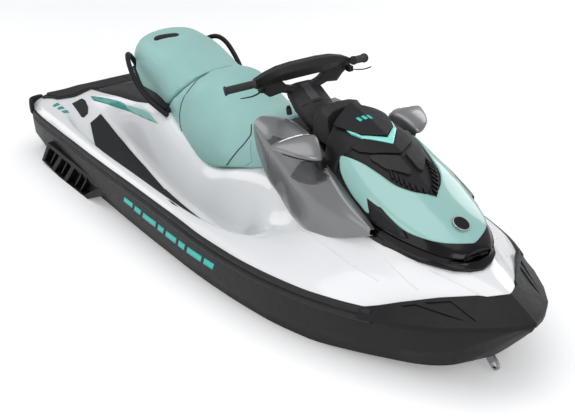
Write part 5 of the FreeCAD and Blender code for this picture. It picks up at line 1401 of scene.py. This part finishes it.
def addMirrors():
    plan = mirrorPlan
    drop = Vector((0, 0, -plan["underDrop"]))
    back = Vector((-plan["glassOut"], 0, 0))
    for side in (1, -1):
        label = sideLabel(side)
        rings = [onSide(ring, side) for ring in plan["shell"]]
        stands = ["mirrors"] if side > 0 else []
        addBlock("mirrorShell" + label, rings, "metal_grey", levels=2, stands=stands)
        under = []
        for ring in rings[1:]:
            rear, front, low = Vector(ring[0]), Vector(ring[3]), Vector(ring[4])
            edge = front * (1 - plan["underBack"]) + rear * plan["underBack"]
            under.append([rear + drop, edge + drop, low + drop * plan["lowDrop"]])
        addBlock("mirrorUnder" + label, under, "metal_grey", finish="gloss_black", levels=1)
        glass = []
        for ring in rings[1:-1]:
            low, top = Vector(ring[0]), Vector(ring[1])
            inset = (top - low) * plan["glassIn"]
            glass.append([low + inset + back, top - inset + back, top - inset - back, low + inset - back])
        addBlock("mirrorGlass" + label, glass, "metal_grey", finish="mirror_glass", levels=1)
        stalk = [onSide(ring, side) for ring in plan["stalk"]]
        addBlock("mirrorStalk" + label, stalk, "metal_grey", finish="black_trim", bevel=0.004)


addMirrors()
print("pod and mirrors made")

# grab rails: an outer run on both sides of the rear seat and a flat inner strip
grabPlan = {
    "run": metres(((-1060, 176, 560), (-1062, 196, 610), (-1040, 232, 652), (-990, 268, 672),
        (-940, 290, 650), (-885, 300, 602), (-827, 300, 553), (-760, 284, 503), (-690, 262, 472),
        (-632, 250, 455))),
    "radius": 0.0125,
    "strip": metres(((-1010, 225, 590), (-940, 248, 585), (-880, 262, 548), (-815, 262, 512),
        (-740, 248, 485), (-668, 235, 474))),
    "stripRadius": 0.008,
}


def addGrabRails():
    for side in (1, -1):
        label = sideLabel(side)
        run = onSide(grabPlan["run"], side)
        rail = addTube("grabRail" + label, run, grabPlan["radius"], "black_trim", sides=4)
        addTube("grabStrip" + label, onSide(grabPlan["strip"], side), grabPlan["stripRadius"], "black_trim")
        if side > 0:
            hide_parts("grab_rails")


addGrabRails()

# nose trim under the hood's front: tucked top, step and lip, in gloss black
nosePlan = {
    "upper": metres(((930, 247, 528), (1000, 237, 513), (1054, 227, 502), (1117, 209, 490),
        (1199, 179, 479), (1262, 146, 470), (1307, 106, 461), (1338, 56, 453), (1346, 0, 450))),
    "lower": metres(((930, 262, 493), (1000, 252, 478), (1054, 240, 468), (1117, 215, 457),
        (1205, 184, 448), (1270, 148, 444), (1325, 108, 439), (1360, 56, 435), (1373, 0, 431))),
    "tuck": 0.022, "tuckDrop": 0.004, "step": 0.5, "stepIn": 0.006, "stepEdge": 0.2, "stepDrop": 0.003,
    "lip": 0.014, "lipIn": 0.004, "foot": 0.030, "footDrop": 0.004,
}


def addNoseTrim():
    plan = nosePlan
    rows = []
    last = len(plan["upper"]) - 1
    for k, (upper, lower) in enumerate(zip(plan["upper"], plan["lower"])):
        upper, lower = Vector(upper), Vector(lower)
        ahead = Vector(plan["lower"][min(k + 1, last)]) - Vector(plan["lower"][max(k - 1, 0)])
        out = Vector((1, 0, 0)) if k == last else Vector((-ahead.y, ahead.x, 0)).normalized()
        if out.y < 0:
            out = -out
        middle = upper * plan["step"] + lower * (1 - plan["step"])
        shifts = ((upper, plan["tuck"], plan["tuckDrop"]), (upper, 0, 0), (middle, plan["stepIn"], 0),
                  (middle, plan["stepIn"] * plan["stepEdge"], plan["stepDrop"]), (lower, 0, 0),
                  (lower, plan["lipIn"], plan["lip"]), (lower, plan["foot"], plan["lip"] + plan["footDrop"]))
        rows.append([place - out * back - Vector((0, 0, drop)) for place, back, drop in shifts])
    bm = startMesh()
    loft(bm, rows)
    pointUp(bm, Vector((0, 1, 0)))
    mirrorClosed(bm, 0.0005)
    pointUp(bm, Vector((1, 0, 1)))
    addPiece("noseTrim", bm, "gloss_black", thick=0.004, bevel=0.0015)


addNoseTrim()

# dark lens in the hood's flank and its inner facet
flankSheets = {
    "lensDark": {
        "outlines": metres(
            (((919, 608), (998, 588), (1119, 538), (1143, 516), (1118, 511), (998, 515), (960, 549)),)),
        "lift": 0.0026, "finish": "gloss_black"},
    "lensFacet": {
        "outlines": metres((((940, 592), (1000, 574), (1100, 536), (1108, 520), (1000, 524), (966, 552)),)),
        "lift": 0.0042, "finish": "black_trim"},
}
addDecals(flankSheets, hoodTree, slotName="gloss_black", body="hood", side=True, cell=0.01)
print("nose trim and lenses made")


# seams, piping and pressed panel of the front seat; the panel's thin lines are darker mint, painted shade
# along its edge
seatTree = treeOf(seatFront)
rearTree = treeOf(seatRear)
seatLines = {
    "seamLoop": {
        "points": metres(((-505, 100, 690), (-513, 151, 655), (-538, 181, 601), (-558, 201, 533),
            (-560, 214, 468), (-547, 226, 408), (-520, 238, 345))), "radius": 0.0022},
    "frontPiping": {
        "points": metres(
            ((-27, 146, 585), (9, 170, 553), (-8, 194, 503), (-53, 222, 443), (-106, 250, 372))),
        "radius": 0.0028},
    "panelTop": {"points": metres(((-286, 250, 322), (-130, 245, 345), (16, 233, 403), (73, 214, 455))),
        "radius": 0.0014},
    "panelFront": {"points": metres(((73, 214, 455), (40, 190, 515), (25, 181, 530))), "radius": 0.0014},
}
for lineName, line in seatLines.items():
    # thin lines take a darker mint, painted shade along the pressed panel's edge
    finish = "stitching" if line["radius"] > 0.002 else "mint_painted_shade"
    addSeam(lineName, line["points"], seatTree, line["radius"], "black_trim", finish, 0.25)

# plain dark pill on the rear seat's crown
pill = {
    "from": (-0.935, -0.068), "length": 0.128, "width": 0.050, "turn": 62, "lift": 0.0012,
}


def addPill():
    bm = startMesh()
    bmesh.ops.create_circle(bm, cap_ends=True, radius=pill["width"] / 2, segments=24)
    reach = (pill["length"] - pill["width"]) / 2
    for v in bm.verts:
        v.co.x += reach if v.co.x > 0.0001 else -reach
    bmesh.ops.triangulate(bm, faces=bm.faces[:])
    bmesh.ops.subdivide_edges(bm, edges=bm.edges[:], cuts=3, use_grid_fill=True)
    turn = Matrix.Rotation(math.radians(pill["turn"]), 4, "Z")
    bmesh.ops.transform(bm, matrix=Matrix.Translation((*pill["from"], 0)) @ turn, verts=bm.verts)
    drape(bm, rearTree, pill["lift"])
    pointUp(bm)
    addPiece("seatPill", bm, "mint_vinyl", finish="black_trim", thick=0.003)


addPill()
print("seams and pill laid")

# platform, mats and riser laid on the deck moulding
floorSheets = {
    "platformPlate": {
        "outlines": metres((
            ((-1640, 0), (-1640, -470), (-1600, -488), (-1512, -440), (-1492, -330), (-1486, 0)),
            ((-1487, 0), (-1487, -224), (-1205, -224), (-1205, 0)))), "lift": 0.007, "slotName": "grey_trim",
        "finish": "grey_trim", "stands": ["rear_platform"]},
    "platformPad": {
        "outlines": metres((
            ((-1622, 0), (-1622, -450), (-1594, -462), (-1528, -424), (-1510, -330), (-1505, 0)),
            ((-1506, 0), (-1506, -128), (-1225, -128), (-1225, 0)))), "lift": 0.011, "slotName": "foam_mat",
        "finish": "foam_mat", "stands": ["platform_mat"]},
    "footPads": {
        "outlines": metres((((-1238, -322), (-1195, -404), (-1050, -455), (-900, -490), (-780, -511),
            (-500, -526), (-500, -350), (-750, -326), (-1000, -312), (-1150, -315)),
            ((-501, -350), (-501, -526), (-280, -526), (-50, -512), (30, -480), (30, -362)))), "lift": 0.006,
        "slotName": "foam_mat", "finish": "foam_mat", "stands": ["footwell_mats"]},
}
addDecals(floorSheets, deckTree, cell=0.02)

riserPlan = {
    "stations": metres((-1440, -1330, -1220, -1120, -1000, -850, -740, -665)),
    "low": metres(
        ((236, 326), (238, 350), (239, 368), (243, 388), (247, 410), (252, 440), (254, 458), (250, 448))),
    "waist": metres(
        ((230, 334), (229, 372), (228, 402), (230, 428), (232, 450), (238, 468), (240, 474), (238, 462))),
    "crown": metres(
        ((222, 337), (212, 384), (200, 430), (190, 462), (188, 486), (195, 494), (205, 490), (210, 474))),
    "foot": metres(((205, 300), (200, 330), (0, 350), (0, 380), (0, 410), (0, 440), (0, 450), (0, 440))),
    "rootDrop": 0.010, "top": 0.016, "topDrop": 0.002,
}


def addRiser():
    plan = riserPlan
    rows = []
    for k, x in enumerate(plan["stations"]):
        low, waist, crown, foot = plan["low"][k], plan["waist"][k], plan["crown"][k], plan["foot"][k]
        inner = (crown[0] - plan["top"] if foot[0] else 0.0, crown[1] - plan["topDrop"])
        root = (low[0], low[1] - plan["rootDrop"])
        rows.append([(x, y, z) for y, z in (root, low, waist, crown, inner, foot)])
    addBlock("riserSides", rows, "black_trim", both=True, stands=["seat_riser"], bevel=0.003)


addRiser()
print("platform, mats and riser laid")

# painted stripes, mats' inserts and bars on the deck and the hull, all plain shapes; a black sheet in the
# drain slot is painted shade of the opening
deckSheets = {
    "teardropPad": {
        "outlines": metres((((-1400, -328), (-1337, -344), (-1274, -377), (-1245, -415), (-1252, -426),
            (-1416, -400), (-1440, -345), (-1436, -331)),)), "lift": 0.0030, "slotName": "foam_mat",
        "finish": "foam_mat"},
    # black sheet where the drain slot opens, painted shade
    "drainSlotShade": {"outlines": metres((((-75, -574), (-30, -570), (22, -574), (-25, -580)),)), "lift": 0.0008,
        "slotName": "black_trim", "finish": "black_trim"},
}
addDecals(deckSheets, deckTree)

# stripes on the steep wall of the stern quarters, in x and z
quarterSheets = {
    "quarterDeep": {
        "outlines": metres(
            (((-1409, 318), (-1125, 370), (-1072, 375), (-1002, 355), (-1150, 331), (-1351, 313)),)),
        "finish": "deep_teal"},
    "quarterPale": {
        "outlines": metres((((-1055, 375), (-841, 418), (-799, 421), (-689, 394), (-1002, 355)),)),
        "finish": "pale_teal"},
}
addDecals(quarterSheets, deckTree, lift=0.0012, slotName="teal_gloss", side=True)

# long soft ridges of the foredeck
deckRidges = {
    "deckRidgeOuter": metres(((560, -352, 440), (760, -372, 420), (960, -362, 400), (1130, -330, 380))),
    "deckRidgeInner": metres(((1019, -250, 440), (1120, -262, 420), (1210, -262, 400), (1278, -257, 390))),
    "deckRidgeNose": metres(((1248, -170, 420), (1330, -130, 400), (1400, -95, 370), (1440, -75, 350))),
}
for ridgeName, points in deckRidges.items():
    addSeam(ridgeName, points, deckTree, 0.0045, "white_gelcoat", "white_gelcoat", -0.55)

# slanted bars in place of letters; a hull bar is start x, length, foot height, rise
hullTree = treeOf(nodes["hull"])
hullBars = {
    "bars": metres(((-455, 85, 152, 30), (-352, 60, 146, 32), (-270, 120, 142, 33), (-128, 50, 139, 34),
        (-56, 90, 136, 35), (56, 50, 134, 36), (128, 110, 132, 36), (260, 70, 133, 36))),
    "lean": 0.018,
}
sideBars = []
for x, length, foot, rise in hullBars["bars"]:
    lean = x + hullBars["lean"]
    sideBars.append([(x, foot), (x + length, foot), (lean + length, foot + rise), (lean, foot + rise)])
addDecal("hullBars", sideBars, hullTree, 0.0012, "teal_gloss", "teal_gloss", side=True)

rowBars = {
    "quarterBars": {"outline": metres(((-1452, -500), (-1418, -500), (-1432, -462), (-1466, -462))),
        "pitch": (0.056, 0)},
    "panelBars": {"outline": metres(((608, -44), (634, -40), (634, -26), (608, -30))),
        "pitch": (0.004, 0.024)},
}


def barRow(name):
    dx, dy = rowBars[name]["pitch"]
    return [[(x + k * dx, y + k * dy) for x, y in rowBars[name]["outline"]] for k in range(3)]


addDecal("quarterBars", barRow("quarterBars"), deckTree, 0.0010, "teal_gloss", "deep_teal")
panelTree = treeOf(bpy.data.objects["hoodPanel"])
addDecal("panelBars", barRow("panelBars"), panelTree, 0.0008, "teal_gloss", "teal_gloss", "hood", cell=0.006,
         mirrored=False)
print("stripes and bars laid")

# smoked patch of the fairings; the notch is a dark sheet, painted shade, and the lines along the panel edges
# are partly seam and partly painted shade
fairingSheets = {
    "smokedPatch": {
        "outlines": metres((((522, 631), (502, 565), (576, 568), (625, 577), (676, 594), (713, 617),
            (711, 640), (672, 660), (632, 657), (562, 642)),)), "lift": 0.0020, "cell": 0.008},
    # dark sheet in the notch, painted shade
    "fairingNotchShade": {"outlines": metres((((270, 641), (294, 666), (355, 668), (306, 632)),)), "lift": 0.0018,
        "cell": 0.006},
}
addDecals(fairingSheets, fairingTree, slotName="metal_grey", finish="smoked_panel_and_shade", side=True)
# dark lines along the panel edges: partly their seam, partly painted shade of the fold
fairingSeamShades = (
    ((0.306, 0.276, 0.632), (0.292, 0.268, 0.560), (0.286, 0.264, 0.525), (0.262, 0.254, 0.472)),
    ((0.286, 0.264, 0.525), (0.330, 0.262, 0.515), (0.376, 0.274, 0.501), (0.405, 0.269, 0.409)),
)
for k, points in enumerate(fairingSeamShades):
    addSeam("fairingSeamShade%d" % k, points, fairingTree, 0.0009, "black_trim", "smoked_panel_and_shade", 0.0)


# small fittings: drain, screws and the key post
def addDisc(name, place, way, radius, depth, slotName, finish, both=True):
    bm = startMesh()
    addDrum(bm, place, turnTo(way), radius, radius * 0.9, depth)
    if both:
        mirrorClosed(bm)
    addPiece(name, bm, slotName, finish=finish, bevel=min(0.0008, depth * 0.3))


fittings = {
    "drain": {"near": (1.167, 0.430, 0.234), "radius": 0.009, "depth": 0.003, "finish": "gloss_black",
        "slot": "black_trim"},
    "bowScrew": {"near": (1.531, 0.330, 0.293), "radius": 0.004, "depth": 0.003, "finish": "bare_metal",
        "slot": "bare_metal"},
}
for fitName, fit in fittings.items():
    hit, normal, index, far = hullTree.find_nearest(Vector(fit["near"]))
    place = hit + normal * fit["depth"] * 0.4
    addDisc(fitName, place, normal, fit["radius"], fit["depth"], fit["slot"], fit["finish"])
keyWay = (0, -0.2, 1)
addDisc("keyPost", (0.212, -0.105, 0.722), keyWay, 0.013, 0.030, "black_trim", "soft_rubber", both=False)
addDisc("keyCap", (0.212, -0.108, 0.740), keyWay, 0.009, 0.010, "black_trim", "gloss_black", both=False)
print("fittings made")


# pale floor that looks a little lighter to the camera than it lights, and a white background
stageLook = {"floorSize": 60, "floorColor": (0.93, 0.93, 0.93), "lift": 0.22, "worldColor": (0.95, 0.97, 1),
             "worldStrength": 0.5}


def addFloor():
    bm = bmesh.new()
    bmesh.ops.create_grid(bm, x_segments=1, y_segments=1, size=stageLook["floorSize"] / 2)
    mesh = bpy.data.meshes.new("floor")
    bm.to_mesh(mesh)
    bm.free()
    floor = bpy.data.objects.new("floor", mesh)
    bpy.context.scene.collection.objects.link(floor)
    made = bpy.data.materials.new("paleFloor")
    made.use_nodes = True
    tree = made.node_tree
    tree.nodes.clear()
    out = addNode(tree, "ShaderNodeOutputMaterial")
    plain = addNode(tree, "ShaderNodeBsdfDiffuse", {"Color": (*stageLook["floorColor"], 1)})
    glow = addNode(tree, "ShaderNodeEmission")
    seen = addNode(tree, "ShaderNodeLightPath")
    lift = addNode(tree, "ShaderNodeMath", {1: stageLook["lift"]})
    lift.operation = "MULTIPLY"
    both = addNode(tree, "ShaderNodeAddShader")
    for output, socket in (
        (seen.outputs["Is Camera Ray"], lift.inputs[0]), (lift.outputs["Value"], glow.inputs["Strength"]),
        (plain.outputs["BSDF"], both.inputs[0]), (glow.outputs["Emission"], both.inputs[1]),
        (both.outputs["Shader"], out.inputs["Surface"]),
    ):
        tree.links.new(output, socket)
    mesh.materials.append(made)


lamps = {
    "overhead": {"place": (0.4, -0.6, 5.2), "aim": (0.1, 0, 0.3), "size": 5.5, "power": 104},
    "bowSide": {"place": (5.0, -1.0, 2.6), "aim": (0.3, 0, 0.4), "size": 3.0, "power": 60},
    "portSide": {"place": (-1.0, 5.0, 2.6), "aim": (0, 0, 0.4), "size": 3.0, "power": 45},
    "sternFill": {"place": (-5.0, -2.0, 2.2), "aim": (0, 0, 0.3), "size": 3.0, "power": 30},
    "starboardSide": {"place": (0.6, -5.2, 2.0), "aim": (-0.2, 0, 0.3), "size": 4.0, "power": 48},
}


def addLamps():
    for name, lamp in lamps.items():
        light = bpy.data.lights.new(name, "AREA")
        light.shape = "DISK"
        light.size = lamp["size"]
        light.energy = lamp["power"]
        holder = bpy.data.objects.new(name, light)
        holder.location = lamp["place"]
        holder.rotation_mode = "QUATERNION"
        holder.rotation_quaternion = (Vector(lamp["aim"]) - Vector(lamp["place"])).to_track_quat("-Z", "Y")
        bpy.context.scene.collection.objects.link(holder)
    world = bpy.data.worlds.new("studio")
    bpy.context.scene.world = world
    world.use_nodes = True
    tree = world.node_tree
    tree.nodes.clear()
    out = addNode(tree, "ShaderNodeOutputWorld")
    glow = {"Color": (*stageLook["worldColor"], 1), "Strength": stageLook["worldStrength"]}
    soft = addNode(tree, "ShaderNodeBackground", glow)
    white = addNode(tree, "ShaderNodeBackground", {"Color": (1, 1, 1, 1), "Strength": 1})
    seen = addNode(tree, "ShaderNodeLightPath")
    pick = addNode(tree, "ShaderNodeMixShader")
    for output, socket in (
        (seen.outputs["Is Camera Ray"], pick.inputs["Fac"]), (soft.outputs["Background"], pick.inputs[1]),
        (white.outputs["Background"], pick.inputs[2]), (pick.outputs["Shader"], out.inputs["Surface"]),
    ):
        tree.links.new(output, socket)
    bpy.context.scene.view_settings.view_transform = "Standard"


addFloor()
addLamps()
print("floor and lamps set")
